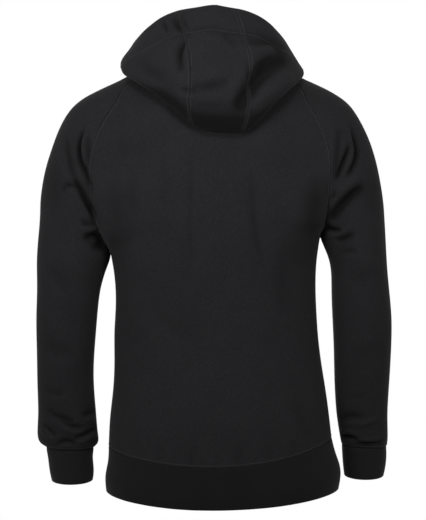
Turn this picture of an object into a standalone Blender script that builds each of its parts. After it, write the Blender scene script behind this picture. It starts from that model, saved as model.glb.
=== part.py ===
"""A zip-up hoodie in its worn form, with nobody in it: raglan sleeves, three-piece hood down on the back.

Metres, +Z up. The front faces -Y and the wearer's left is +X. The origin lies between the shoulders,
at the base of the neck, where the wearer carries the garment.

The garment is drawn as one skin of four-sided patches that share their points along every seam.
The skin is then cut into its pieces, which are drawn in a little at the seams and given the cloth's thickness.
"""

import math

import bmesh
import bpy
import numpy as np
from mathutils import Matrix, Vector

CLOTH = 0.002  # brushed fleece
RIB = 0.003  # rib knit, folded double
SEAM_GAP = 0.0003
ZIP_EDGE = 0.0065  # from the centre line to each front edge
ZIP_FLAT = 0.0190  # the fronts lie flat over the zip tape as far as this
PANEL_HALF = 0.042  # half the width of the hood's centre panel

SMALL = 1e-9
LEFT, RIGHT = 1, -1
SIDES = {"left": LEFT, "right": RIGHT}

# How finely the skin is drawn.
QUARTER_COLUMNS = 6  # from a centre line to a side seam
SLEEVE_COLUMNS = 12
LOWER_ROWS = 9  # from the band to the armpit
ARM_ROWS = 11
HOOD_STEPS = 2  # rows between two of the hood's guide lines

BLACK = (0.017, 0.017, 0.019, 1.0)
RIB_BLACK = (0.013, 0.013, 0.014, 1.0)
ZIP_BLACK = (0.01, 0.01, 0.011, 1.0)
GUNMETAL = (0.09, 0.09, 0.1, 1.0)


class Spline:
    """Natural cubic spline through one value, or one row of values, for each place."""

    def __init__(self, at, values):
        self.at = np.asarray(at, float)
        self.values = np.asarray(values, float)
        steps = np.diff(self.at)
        count = len(self.at)
        system = np.eye(count)
        target = np.zeros_like(self.values)
        for i in range(1, count - 1):
            system[i, i - 1 : i + 2] = steps[i - 1], 2 * (steps[i - 1] + steps[i]), steps[i]
            after = (self.values[i + 1] - self.values[i]) / steps[i]
            before = (self.values[i] - self.values[i - 1]) / steps[i - 1]
            target[i] = 6 * (after - before)
        self.bend = np.linalg.solve(system, target)

    def __call__(self, place):
        place = min(max(place, self.at[0]), self.at[-1])
        i = int(np.clip(np.searchsorted(self.at, place) - 1, 0, len(self.at) - 2))
        step = self.at[i + 1] - self.at[i]
        b = (place - self.at[i]) / step
        a = 1 - b
        curve = (a**3 - a) * self.bend[i] + (b**3 - b) * self.bend[i + 1]
        return a * self.values[i] + b * self.values[i + 1] + curve * step**2 / 6


class Table:
    """Rows of numbers with named columns, read smoothly along the first column or along the row number."""

    def __init__(self, names, rows, by_row=False):
        self.names = names.split()
        self.rows = np.array(rows, float)
        self.at = np.arange(len(rows), dtype=float) if by_row else self.rows[:, 0]
        order = np.argsort(self.at)
        self.curve = Spline(self.at[order], self.rows[order])

    def read(self, place):
        return dict(zip(self.names, self.curve(place)))

    def last(self):
        return len(self.rows) - 1


# Centre lines of the back and the front: how far each stands from the origin at a height.
BACK_LINE = Table(
    "z y",
    [
        (-0.700, 0.1150),
        (-0.660, 0.1175),
        (-0.624, 0.1130),
        (-0.570, 0.1095),
        (-0.510, 0.1010),
        (-0.456, 0.0945),
        (-0.400, 0.0915),
        (-0.344, 0.0940),
        (-0.287, 0.1010),
        (-0.250, 0.1055),
        (-0.200, 0.1090),
        (-0.150, 0.1090),
        (-0.100, 0.1030),
        (-0.060, 0.0945),
        (-0.030, 0.0855),
        (-0.003, 0.0720),
    ],
)
FRONT_LINE = Table(
    "z y",
    [
        (-0.700, -0.1105),
        (-0.675, -0.1140),
        (-0.658, -0.1155),
        (-0.631, -0.1145),
        (-0.606, -0.1120),
        (-0.550, -0.1110),
        (-0.500, -0.1080),
        (-0.450, -0.1065),
        (-0.400, -0.1070),
        (-0.350, -0.1110),
        (-0.300, -0.1165),
        (-0.250, -0.1210),
        (-0.200, -0.1220),
        (-0.160, -0.1190),
        (-0.130, -0.1140),
        (-0.100, -0.1060),
        (-0.075, -0.0955),
        (-0.055, -0.0850),
    ],
)

# The body from the band's seam (level 0) to the armpits (level 1).
BODY = Table(
    "level left_x left_z right_x right_z back_z front_z",
    [
        (0.00, 0.1712, -0.606, 0.1944, -0.592, -0.6244, -0.606),
        (0.15, 0.1688, -0.559, 0.1888, -0.543, -0.5680, -0.553),
        (0.30, 0.1636, -0.512, 0.1815, -0.494, -0.5120, -0.499),
        (0.45, 0.1612, -0.465, 0.1740, -0.444, -0.4560, -0.446),
        (0.60, 0.1607, -0.418, 0.1694, -0.395, -0.4000, -0.392),
        (0.75, 0.1585, -0.371, 0.1675, -0.346, -0.3440, -0.339),
        (0.90, 0.1612, -0.323, 0.1697, -0.297, -0.2870, -0.286),
        (1.00, 0.1665, -0.292, 0.1745, -0.264, -0.2500, -0.250),
    ],
)
SIDE_Y = -0.005

# The band from its seam (level 0) to its lower edge (level 1). It hangs lower at the back.
BAND = Table(
    "level left_x left_z right_x right_z back_y back_z front_y front_z",
    [
        (0.00, 0.1712, -0.606, 0.1944, -0.592, 0.1130, -0.6244, -0.1120, -0.606),
        (0.35, 0.1722, -0.631, 0.2015, -0.619, 0.1160, -0.6480, -0.1145, -0.631),
        (0.75, 0.1765, -0.659, 0.2095, -0.651, 0.1180, -0.6750, -0.1155, -0.658),
        (1.00, 0.1750, -0.680, 0.2060, -0.676, 0.1165, -0.6910, -0.1140, -0.675),
    ],
)

# Raglan sleeve. Each row is one section: its outermost line, its innermost line (the raglan seam's
# height and breadth while the section is open), half its depth, where it opens, and the middle's y.
# An opening of -90 degrees closes the section into a ring, as it is below the armpit.
SLEEVE = Table(
    "left_out right_out out_z left_in left_in_z right_in right_in_z depth open mid_y",
    [
        (0.0880, 0.0880, 0.022, 0.0790, 0.012, 0.0790, 0.0120, 0.049, 35, -0.004),
        (0.1190, 0.1190, 0.008, 0.1085, -0.003, 0.1080, -0.0040, 0.062, 36, -0.004),
        (0.1490, 0.1490, -0.008, 0.1385, -0.0215, 0.1375, -0.0235, 0.070, 36, -0.004),
        (0.1755, 0.1775, -0.021, 0.1515, -0.0435, 0.1480, -0.0440, 0.077, 34, -0.004),
        (0.2070, 0.2070, -0.0375, 0.1660, -0.066, 0.1600, -0.0650, 0.079, 30, -0.004),
        (0.2312, 0.2280, -0.057, 0.1800, -0.091, 0.1730, -0.0910, 0.078, 22, -0.004),
        (0.2490, 0.2450, -0.086, 0.1900, -0.115, 0.1820, -0.1150, 0.075, 14, -0.004),
        (0.2618, 0.2585, -0.119, 0.1960, -0.141, 0.1862, -0.1400, 0.072, 5, -0.004),
        (0.2735, 0.2692, -0.158, 0.1980, -0.173, 0.1865, -0.1690, 0.068, -8, -0.004),
        (0.2802, 0.2760, -0.197, 0.1955, -0.212, 0.1840, -0.2010, 0.065, -22, -0.005),
        (0.2815, 0.2787, -0.222, 0.1845, -0.248, 0.1812, -0.2280, 0.064, -40, -0.005),
        (0.2825, 0.2800, -0.240, 0.1750, -0.272, 0.1780, -0.2490, 0.063, -60, -0.005),
        (0.2838, 0.2810, -0.254, 0.1678, -0.292, 0.1755, -0.2650, 0.062, -90, -0.005),
        (0.2868, 0.2830, -0.288, 0.1745, -0.316, 0.1870, -0.2940, 0.061, -90, -0.005),
        (0.2876, 0.2852, -0.320, 0.1815, -0.338, 0.1930, -0.3230, 0.059, -90, -0.005),
        (0.2878, 0.2888, -0.355, 0.1865, -0.362, 0.1940, -0.3570, 0.057, -90, -0.006),
        (0.2898, 0.2925, -0.400, 0.1905, -0.400, 0.1960, -0.4000, 0.054, -90, -0.009),
        (0.2896, 0.2925, -0.450, 0.1945, -0.450, 0.1986, -0.4500, 0.052, -90, -0.014),
        (0.2896, 0.2902, -0.502, 0.1966, -0.502, 0.2006, -0.5020, 0.050, -90, -0.021),
        (0.2892, 0.2890, -0.550, 0.1942, -0.550, 0.2044, -0.5500, 0.049, -90, -0.030),
        (0.2910, 0.2902, -0.585, 0.1920, -0.585, 0.2094, -0.5850, 0.048, -90, -0.036),
        (0.2880, 0.2902, -0.604, 0.1910, -0.605, 0.2125, -0.6020, 0.046, -90, -0.039),
        (0.2765, 0.2885, -0.612, 0.1990, -0.614, 0.2145, -0.6090, 0.040, -90, -0.040),
    ],
    by_row=True,
)
ARMPIT_ROW = 12

# Cuff, from its seam (level 0) to its lower edge (level 1).
CUFF = Table(
    "level left_out right_out left_in right_in left_z right_z depth mid_y",
    [
        (0.0, 0.2765, 0.2885, 0.1990, 0.2145, -0.613, -0.610, 0.0400, -0.0400),
        (0.4, 0.2742, 0.2890, 0.2003, 0.2155, -0.634, -0.629, 0.0385, -0.0420),
        (0.8, 0.2715, 0.2868, 0.1990, 0.2175, -0.658, -0.651, 0.0380, -0.0440),
        (1.0, 0.2690, 0.2845, 0.2005, 0.2190, -0.670, -0.662, 0.0370, -0.0450),
    ],
)
CUFF_TILT = math.radians(4)  # the wrist leans forward

# The hood, down. Its wall rises from the neck seam to a crest, hangs to a fold on the back, and
# rises again through a belly to the face edge. Rows go round from the front (0) to the back (180)
# and one past it, which keeps the middle of the back smooth.
HOOD = Table(
    "azimuth crest_r crest_z fold_r left_fold_z right_fold_z belly_r belly_z edge_r edge_z turn half right_in",
    [
        (0, 0.0885, -0.0490, 0.0925, -0.0405, -0.0405, 0.0975, -0.0325, 0.1020, -0.0240, 62, 0.0015, 0.000),
        (30, 0.0990, -0.0220, 0.1050, -0.0170, -0.0170, 0.1100, -0.0130, 0.1140, -0.0080, 50, 0.0015, 0.000),
        (60, 0.1080, 0.0270, 0.1150, 0.0260, 0.0250, 0.1230, 0.0250, 0.1290, 0.0260, 20, 0.0020, 0.001),
        (80, 0.1090, 0.0470, 0.1340, 0.0180, 0.0160, 0.1400, 0.0230, 0.1345, 0.0360, 5, 0.0040, 0.005),
        (93, 0.1070, 0.0540, 0.1400, 0.0080, 0.0060, 0.1485, 0.0165, 0.1345, 0.0405, 0, 0.0050, 0.010),
        (105, 0.1040, 0.0560, 0.1425, -0.0020, -0.0050, 0.1530, 0.0120, 0.1310, 0.0500, 0, 0.0060, 0.010),
        (118, 0.1000, 0.0550, 0.1430, -0.0125, -0.0200, 0.1535, 0.0070, 0.1240, 0.0650, 0, 0.0065, 0.008),
        (126, 0.0965, 0.0540, 0.1415, -0.0220, -0.0335, 0.1525, 0.0040, 0.1190, 0.0745, 0, 0.0068, 0.006),
        (134, 0.0930, 0.0520, 0.1400, -0.0330, -0.0500, 0.1510, 0.0010, 0.1140, 0.0830, 0, 0.0070, 0.005),
        (142, 0.0900, 0.0505, 0.1375, -0.0455, -0.0690, 0.1500, -0.0030, 0.1095, 0.0890, 0, 0.0072, 0.004),
        (151, 0.0880, 0.0490, 0.1345, -0.0600, -0.0875, 0.1490, -0.0070, 0.1050, 0.0935, 0, 0.0075, 0.003),
        (165, 0.0865, 0.0475, 0.1320, -0.0815, -0.0925, 0.1485, -0.0130, 0.1015, 0.0970, 0, 0.0080, 0.001),
        (180, 0.0860, 0.0470, 0.1300, -0.0905, -0.0905, 0.1480, -0.0150, 0.1000, 0.1005, 0, 0.0080, 0.000),
        (195, 0.0865, 0.0475, 0.1320, -0.0870, -0.0870, 0.1485, -0.0130, 0.1015, 0.0970, 0, 0.0080, 0.001),
    ],
)
GUIDES = 7  # neck, two at the crest, two at the fold, belly, edge
PANEL_SHIFT = (0, 0, 0, 0.006, 0.0075, 0.0115, -0.008)  # the centre panel's lean to the right, at each guide

# Folds of the hood's outer wall, from one place to another. A place is an azimuth and a guide number.
HOOD_FOLDS = [
    dict(side=RIGHT, start=(112, 5.30), end=(158, 4.5), depth=0.006, width=0.018),
]

# Folds of the sleeves as seen from the back or the front, as places in x and z.
SLEEVE_FOLDS = [
    dict(face=1, start=(0.232, -0.150), end=(0.190, -0.250), depth=0.005, width=0.018),
    dict(face=1, start=(-0.225, -0.190), end=(-0.185, -0.235), depth=0.005, width=0.018),
    dict(face=-1, start=(0.228, -0.160), end=(0.186, -0.250), depth=0.005, width=0.018),
    dict(face=-1, start=(-0.228, -0.170), end=(-0.186, -0.240), depth=0.005, width=0.018),
]

ZIP_LINES = {"tape_front": -0.0023, "tape_back": -0.0033, "chain_front": -0.0014, "chain_back": -0.0042}
TAPE_INNER, TAPE_OUTER = 0.0031, 0.0165
CHAIN_HALF = 0.0028
ZIP_TOP = -0.0575
ZIP_BOTTOM = -0.6720
BAND_RAMP = (-0.606, -0.553)
BOX_LENGTH = 0.0085

SLIDER_TOP = 0.0070  # down the zip from its top
SLIDER = dict(width=0.0100, length=0.0120, front=0.0012, back=0.0012, post=0.0020)
CROWN = dict(width=0.0018, reach=0.0034, rise=0.0034, bar=0.0010)
PULL = dict(width=0.0070, length=0.0260, thick=0.0015, eye=0.0034, bar=0.0014, drop=0.0046)


def cubic(p0, p1, p2, p3, t):
    t = np.asarray(t, float)[:, None]
    s = 1 - t
    return s**3 * p0 + 3 * s**2 * t * p1 + 3 * s * t**2 * p2 + t**3 * p3


def ease(value, low, high):
    t = min(max((value - low) / (high - low), 0.0), 1.0)
    return t * t * (3 - 2 * t)


def unit(vector):
    return vector / max(np.linalg.norm(vector), SMALL)


# ---------------------------------------------------------------- the skin's patches


def sleeve_frame(side, station):
    """Centre, reach and opening of one sleeve section."""
    row = SLEEVE.read(station)
    name = "left" if side == LEFT else "right"
    outer = np.array([side * row[name + "_out"], 0.0, row["out_z"]])
    inner = np.array([side * row[name + "_in"], 0.0, row[name + "_in_z"]])
    opening = math.radians(max(row["open"], -90.0)) if station < ARMPIT_ROW else -math.pi / 2
    reach = (outer - inner) / (1 - math.sin(opening))
    centre = outer - reach + np.array([0.0, row["mid_y"], 0.0])
    return centre, reach, row["depth"], opening


def sleeve_section(side, station):
    """Points of one section, from the back seam over the outside to the front seam."""
    centre, reach, depth, opening = sleeve_frame(side, station)
    turns = np.linspace(opening, math.pi - opening, SLEEVE_COLUMNS + 1)
    points = centre + np.outer(np.sin(turns), reach)
    points[:, 1] += depth * np.cos(turns)
    if station >= ARMPIT_ROW:
        points[-1] = points[0]
    return points


def seam_point(side, station, face):
    """Where the raglan seam crosses a section: face 1 is the back seam, -1 the front one."""
    centre, reach, depth, opening = sleeve_frame(side, station)
    point = centre + reach * math.sin(opening)
    point[1] += face * depth * math.cos(opening)
    return point


def seam_heading(side, station, face, toward):
    """The way the body's cloth runs as it reaches the raglan seam, and how smoothly it goes on into the sleeve."""
    _, reach, depth, opening = sleeve_frame(side, station)
    across = reach * math.cos(opening)
    across[1] -= face * depth * math.sin(opening)
    step = 0.05
    along = seam_point(side, station + step, face) - seam_point(side, max(station - step, 0), face)
    normal = unit(np.cross(across, along))
    smooth = toward - np.dot(toward, normal) * normal
    share = ease(math.degrees(opening), -35, 12)
    own = np.array([0.0, -face, 0.0])
    return unit((1 - share) * own + share * unit(smooth)), share


def half_row(centre, end, heading, share, side, square=0.0):
    """Cloth from a centre line to a side: a quarter of an oval low down, a shallow curve across the shoulder."""
    across, deep = abs(end[0] - centre[0]), abs(end[1] - centre[1])
    chord = np.linalg.norm(end - centre)
    near = (1 - share) * (0.60 + 0.14 * square) * across + share * 0.42 * across
    far = (1 - share) * (0.56 + 0.24 * square) * deep + share * 0.34 * chord
    out = np.array([side * near, 0.0, 0.0])
    return cubic(centre, centre + out, end - heading * far, end, np.linspace(0, 1, QUARTER_COLUMNS + 1))


def flat_start(row, side):
    """A front row with its first point at the zip's edge, and flat from there over the tape."""
    edge = row[0].copy()
    edge[0] = side * ZIP_EDGE
    return np.concatenate([[edge], row])


def body_rows(side, face, table, levels):
    """Rows of one quarter of the body or the band, from the centre line to the side seam."""
    name = "left" if side == LEFT else "right"
    rows = []
    for level in levels:
        row = table.read(level)
        line = BACK_LINE if face == 1 else FRONT_LINE
        z = row["back_z" if face == 1 else "front_z"]
        y = row.get("back_y" if face == 1 else "front_y", line.read(z)["y"])
        centre = np.array([0.0 if face == 1 else side * ZIP_FLAT, y, z])
        end = np.array([side * row[name + "_x"], SIDE_Y, row[name + "_z"]])
        square = ease(level, 0.35, 1.0) if table is BODY else 0.0
        points = half_row(centre, end, np.array([0.0, -face, 0.0]), 0.0, side, square)
        rows.append(points if face == 1 else flat_start(points, side))
    return rows


def shoulder_rows(side, face):
    """Rows of one quarter of the body from the armpit up to the neck, each ending on the raglan seam."""
    rows = []
    line = BACK_LINE if face == 1 else FRONT_LINE
    neck_z, armpit_z = line.rows[-1][0], BODY.read(1)["back_z" if face == 1 else "front_z"]
    for station in range(ARMPIT_ROW - 1, -1, -1):
        z = neck_z + (armpit_z - neck_z) * station / ARMPIT_ROW
        centre = np.array([0.0 if face == 1 else side * ZIP_FLAT, line.read(z)["y"], z])
        end = seam_point(side, station, face)
        heading, share = seam_heading(side, station, face, unit(end - centre))
        square = ease(station, ARMPIT_ROW - 4, ARMPIT_ROW)
        points = half_row(centre, end, heading, share, side, square)
        rows.append(points if face == 1 else flat_start(points, side))
    return rows


def quarter(side, face):
    levels = np.linspace(0, 1, LOWER_ROWS + 1)
    rows = body_rows(side, face, BODY, levels)
    rows[-1][-1] = seam_point(side, ARMPIT_ROW, face)
    return np.array(rows + shoulder_rows(side, face))


def band_quarter(side, face):
    return np.array(body_rows(side, face, BAND, (0, 0.35, 0.75, 1)))


def sleeve_rows(side):
    stations = list(range(ARMPIT_ROW)) + list(np.linspace(ARMPIT_ROW, SLEEVE.last(), ARM_ROWS))
    return np.array([sleeve_section(side, station) for station in stations])


def cuff_rows(side, seam):
    """The cuff's rings. The first is the sleeve's last one."""
    name = "left" if side == LEFT else "right"
    turns = np.linspace(-math.pi / 2, 3 * math.pi / 2, SLEEVE_COLUMNS + 1)
    rows = [seam]
    for level in (0.4, 0.8, 1.0):
        row = CUFF.read(level)
        outer, inner = row[name + "_out"], row[name + "_in"]
        y = row["mid_y"] + row["depth"] * np.cos(turns)
        x = side * ((outer + inner) / 2 + (outer - inner) / 2 * np.sin(turns))
        z = row[name + "_z"] - (y - row["mid_y"]) * math.sin(CUFF_TILT)
        ring = np.stack([x, y, z], axis=1)
        ring[-1] = ring[0]
        rows.append(ring)
    return np.array(rows)


# ---------------------------------------------------------------- the hood


def azimuth_of(point):
    return math.degrees(math.atan2(abs(point[0]), -point[1]))


def hood_guides(neck, side, azimuth, panel_azimuth, start_azimuth):
    """The guide points of one upright section of the hood, above one point of the neck seam."""
    points = [neck]
    for guide in range(1, GUIDES):
        reach_back = HOOD.read(180)["edge_r" if guide == GUIDES - 1 else "fold_r"]
        lean = -side * PANEL_SHIFT[guide]
        own_panel = 180 - math.degrees(math.asin((PANEL_HALF + lean) / reach_back))
        own_start = math.degrees(math.asin(ZIP_EDGE / HOOD.read(0)["fold_r"]))
        if azimuth <= panel_azimuth:
            share = (azimuth - start_azimuth) / (panel_azimuth - start_azimuth)
            turned = own_start + (own_panel - own_start) * share
        else:
            share = (azimuth - panel_azimuth) / (180 - panel_azimuth)
            middle = 180 + math.degrees(math.asin(lean / reach_back))
            turned = own_panel + (middle - own_panel) * share
        row = HOOD.read(min(turned, 180))
        name = ("", "crest", "crest", "fold", "fold", "belly", "edge")[guide]
        own = name if name != "fold" else "left_fold" if side == LEFT else "right_fold"
        radius, height = row[name + "_r"], row[own + "_z"]
        if side == RIGHT and name in ("belly", "edge"):
            radius -= row["right_in"]
        if name in ("crest", "fold"):
            way = 1 if guide in (2, 4) else -1
            angle = math.radians(row["turn"])
            radius += way * row["half"] * math.cos(angle)
            height += way * row["half"] * math.sin(angle)
        bearing = math.radians(turned)
        points.append(np.array([side * radius * math.sin(bearing), -radius * math.cos(bearing), height]))
    return np.array(points), azimuth


def hood_column(neck, side, panel_azimuth, start_azimuth):
    """One upright line of the hood's wall, smooth through its guide points."""
    azimuth = azimuth_of(neck)
    points, azimuth = hood_guides(neck, side, azimuth, panel_azimuth, start_azimuth)
    knots = np.concatenate([[0], np.cumsum(np.linalg.norm(np.diff(points, axis=0), axis=1) ** 0.75)])
    curve = Spline(knots, points)
    places = np.arange(0, (GUIDES - 1) * HOOD_STEPS + 1) / HOOD_STEPS
    rows = np.array([curve(np.interp(place, np.arange(GUIDES), knots)) for place in places])
    rows[0] = neck
    for i, place in enumerate(places):
        rows[i] += hood_fold(side, azimuth, place, rows[i])
    return rows


def hood_fold(side, azimuth, place, point):
    """How far the folds push one point of the hood's wall in towards the neck."""
    total = np.zeros(3)
    for fold in HOOD_FOLDS:
        if fold["side"] != side:
            continue
        ahead = azimuth_of(point)
        here = np.array([math.radians(ahead) * 0.13, place * 0.055])
        a = np.array([math.radians(fold["start"][0]) * 0.13, fold["start"][1] * 0.055])
        b = np.array([math.radians(fold["end"][0]) * 0.13, fold["end"][1] * 0.055])
        total += trough(here, a, b, fold) * unit(np.array([-point[0], -point[1], 0.0]))
    return total


def trough(here, a, b, fold):
    """Depth of a fold at a place: full along its middle, gone at its ends and a width away."""
    line = b - a
    t = np.clip(np.dot(here - a, line) / np.dot(line, line), 0, 1)
    away = np.linalg.norm(here - a - t * line) / fold["width"]
    return fold["depth"] * math.exp(-away * away) * math.sin(math.pi * (0.12 + 0.76 * t))


# ---------------------------------------------------------------- one skin, cut into pieces


class Skin:
    """All the patches in one mesh, with the piece that each face belongs to."""

    def __init__(self):
        self.points, self.faces, self.pieces = [], [], []
        self.known = {}

    def point(self, place):
        key = tuple(np.round(place * 1e6).astype(int))
        if key not in self.known:
            self.known[key] = len(self.points)
            self.points.append(np.array(place, float))
        return self.known[key]

    def patch(self, grid, piece_of_column, flip):
        """Adds a grid of points. The piece of each column of faces comes from piece_of_column."""
        index = [[self.point(p) for p in row] for row in grid]
        for i in range(len(index) - 1):
            for j in range(len(index[0]) - 1):
                face = [index[i][j], index[i][j + 1], index[i + 1][j + 1], index[i + 1][j]]
                face = [v for k, v in enumerate(face) if v != face[k - 1]]
                if len(face) < 3:
                    continue
                self.faces.append(face[::-1] if flip else face)
                self.pieces.append(piece_of_column(j))

    def normals(self):
        """Unit normals of the skin's points, each from the faces around it."""
        points = np.array(self.points)
        total = np.zeros_like(points)
        for face in self.faces:
            corners = points[face]
            for k in range(len(face)):
                a, b = corners[k - 1] - corners[k], corners[(k + 1) % len(face)] - corners[k]
                cross = np.cross(b, a)
                size = np.linalg.norm(cross)
                if size < SMALL:
                    continue
                angle = math.atan2(size, np.dot(a, b))
                total[face[k]] += cross / size * angle
        return total / np.maximum(np.linalg.norm(total, axis=1, keepdims=True), SMALL)


def push_folds(skin):
    """Presses the sleeve folds into the skin, along its normals."""
    normals = skin.normals()
    for i, point in enumerate(skin.points):
        for fold in SLEEVE_FOLDS:
            facing = ease(fold["face"] * normals[i][1], 0.1, 0.6)
            if facing == 0:
                continue
            here = np.array([point[0], point[2]])
            a, b = np.array(fold["start"]), np.array(fold["end"])
            skin.points[i] = skin.points[i] - normals[i] * facing * trough(here, a, b, fold)


def edge_counts(faces):
    found = {}
    for face in faces:
        for k in range(len(face)):
            edge = (face[k], face[(k + 1) % len(face)])
            key = (min(edge), max(edge))
            found.setdefault(key, []).append(edge)
    return found


def cut_piece(skin, name, normals):
    """The faces of one piece with its seam edges drawn in by half the gap: points, inward directions, faces."""
    mine = [f for f, piece in zip(skin.faces, skin.pieces) if piece == name]
    everyone = edge_counts(skin.faces)
    points = np.array(skin.points)
    pull = {}
    for face in mine:
        corners = points[face]
        middle = corners.mean(axis=0)
        for k in range(len(face)):
            a, b = face[k], face[(k + 1) % len(face)]
            others = everyone[(min(a, b), max(a, b))]
            if len(others) != 2 or sum(1 for f in mine if a in f and b in f) == 2:
                continue
            along = unit(points[b] - points[a])
            inward = middle - points[a]
            inward = unit(inward - np.dot(inward, along) * along)
            for v in (a, b):
                pull.setdefault(v, []).append(inward)
    used = sorted({v for f in mine for v in f})
    order = {v: i for i, v in enumerate(used)}
    moved = points[used].copy()
    for v, ways in pull.items():
        # Each edge of a corner is drawn in by half the gap.
        system = np.array(ways)
        shift = np.linalg.lstsq(system, np.full(len(ways), SEAM_GAP / 2), rcond=0.2)[0]
        moved[order[v]] += shift
    return moved, -normals[used], [[order[v] for v in f] for f in mine]


def material(name, colour, roughness, metallic=0.0):
    made = bpy.data.materials.new(name)
    made.use_nodes = True
    shader = made.node_tree.nodes["Principled BSDF"]
    shader.inputs["Base Color"].default_value = colour
    shader.inputs["Roughness"].default_value = roughness
    shader.inputs["Metallic"].default_value = metallic
    return made


def add_object(name, bm, finish, smooth=True):
    bmesh.ops.recalc_face_normals(bm, faces=bm.faces)
    mesh = bpy.data.meshes.new(name)
    bm.to_mesh(mesh)
    bm.free()
    if smooth:
        mesh.shade_smooth()
        mesh.set_sharp_from_angle(angle=math.radians(50))
    mesh.materials.append(finish)
    made = bpy.data.objects.new(name, mesh)
    bpy.context.scene.collection.objects.link(made)
    return made


def triangles(points, faces):
    """Each four-sided face as two triangles, cut along its shorter diagonal."""
    made = []
    for face in faces:
        if len(face) == 3:
            made.append(face)
            continue
        a, b, c, d = face
        if np.linalg.norm(points[a] - points[c]) <= np.linalg.norm(points[b] - points[d]):
            made += [[a, b, c], [a, c, d]]
        else:
            made += [[a, b, d], [b, c, d]]
    return made


def wall(name, outer, inward, faces, thick, finish):
    """A closed wall of cloth: the outer sheet, the inner sheet, and the rim between their edges."""
    bm = bmesh.new()
    top = [bm.verts.new(p) for p in outer]
    low = [bm.verts.new(p) for p in outer + inward * thick]
    for face in triangles(outer, faces):
        bm.faces.new([top[i] for i in face])
        bm.faces.new([low[i] for i in reversed(face)])
    for edges in edge_counts(faces).values():
        if len(edges) == 1:
            # Both sides of a seam cut their rims along the same diagonal.
            a, b = edges[0]
            cut = (a, b) if a < b else (b, a)
            bm.faces.new([top[b], top[a], low[cut[0]]])
            bm.faces.new([top[cut[1]], low[a], low[b]])
    return add_object(name, bm, finish)


# ---------------------------------------------------------------- the zip


def zip_frame(z):
    """A point of the front centre line, the way out of the cloth there, and the way up along it."""
    step = 0.004
    low, high = FRONT_LINE.read(z - step)["y"], FRONT_LINE.read(z + step)["y"]
    up = unit(np.array([0.0, high - low, 2 * step]))
    out = unit(np.array([0.0, -up[2], up[1]]))
    sunk = np.interp(z, BAND_RAMP, (RIB - CLOTH, 0.0))  # behind the band, which is thicker
    return np.array([0.0, FRONT_LINE.read(z)["y"], z]) - out * sunk, out, up


def zip_strip(name, x_low, x_high, back, front, heights, finish):
    """A flat strip that follows the front centre line through the heights given."""
    bm = bmesh.new()
    rings = []
    for z in heights:
        centre, out, _ = zip_frame(z)
        corners = ((x_low, back), (x_high, back), (x_high, front), (x_low, front))
        rings.append([bm.verts.new(centre + out * d + np.array([x, 0, 0])) for x, d in corners])
    for a, b in zip(rings, rings[1:]):
        for k in range(4):
            bm.faces.new([a[k], a[(k + 1) % 4], b[(k + 1) % 4], b[k]])
    bm.faces.new(rings[0][::-1])
    bm.faces.new(rings[-1])
    return add_object(name, bm, finish, smooth=False)


def zip_heights(rows, low, high):
    """Heights for a strip's rings: its ends, and the cloth's own rows between them."""
    return [low] + [z for z in sorted(rows) if low + 0.002 < z < high - 0.002] + [high]


def joined_blocks(name, place, boxes, finish):
    """Boxes that touch, made into one solid in a zip frame: x across, d out of the cloth and h up the zip."""
    centre, out, up = place
    boxes = np.array(boxes)
    cuts = [np.unique(np.round(boxes[:, axis].ravel(), 7)) for axis in range(3)]
    full = np.zeros([len(cut) + 1 for cut in cuts], bool)
    for box in boxes:
        low = [int(np.argmin(abs(cuts[axis] - box[axis, 0]))) for axis in range(3)]
        high = [int(np.argmin(abs(cuts[axis] - box[axis, 1]))) for axis in range(3)]
        full[tuple(slice(a + 1, b + 1) for a, b in zip(low, high))] = True

    bm = bmesh.new()
    made = {}

    def corner(index):
        if index not in made:
            x, d, h = (cuts[axis][index[axis]] for axis in range(3))
            made[index] = bm.verts.new(centre + out * d + up * h + np.array([x, 0.0, 0.0]))
        return made[index]

    for cell in np.argwhere(full):
        for axis in range(3):
            for way in (0, 1):
                beside = cell.copy()
                beside[axis] += 2 * way - 1
                if full[tuple(beside)]:
                    continue
                base = cell - 1
                base[axis] += way
                one, two = (k for k in range(3) if k != axis)
                ring = []
                for da, db in ((0, 0), (1, 0), (1, 1), (0, 1)):
                    index = base.copy()
                    index[one] += da
                    index[two] += db
                    ring.append(corner(tuple(int(v) for v in index)))
                bm.faces.new(ring)
    return add_object(name, bm, finish, smooth=False)


def slider_place():
    return zip_frame(ZIP_TOP - SLIDER_TOP - SLIDER["length"] / 2)


def crown_height():
    """How far out of the cloth the pull's bar lies, in the middle of the crown."""
    return ZIP_LINES["chain_front"] + SEAM_GAP + SLIDER["front"] + 0.0004 + PULL["thick"] / 2


def build_slider(finish):
    half, length = SLIDER["width"] / 2, SLIDER["length"]
    plate_low = ZIP_LINES["chain_front"] + SEAM_GAP
    plate_high = plate_low + SLIDER["front"]
    back_high = ZIP_LINES["chain_back"] - SEAM_GAP
    back_low = back_high - SLIDER["back"]
    post = SLIDER["post"] / 2
    crown = CROWN["width"] / 2
    leg, top = CROWN["reach"], plate_high + CROWN["rise"]
    boxes = [
        ((-half, half), (plate_low, plate_high), (-length / 2, length / 2)),
        ((-half, half), (back_low, back_high), (-length / 2, length / 2)),
        ((-post, post), (back_high, plate_low), (length / 2 - 0.003, length / 2 - 0.0005)),
        ((-crown, crown), (plate_high, top), (leg - CROWN["bar"], leg)),
        ((-crown, crown), (plate_high, top), (-leg, -leg + CROWN["bar"])),
        ((-crown, crown), (top - CROWN["bar"], top), (-leg, leg)),
    ]
    return joined_blocks("zip_slider", slider_place(), boxes, finish)


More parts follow.
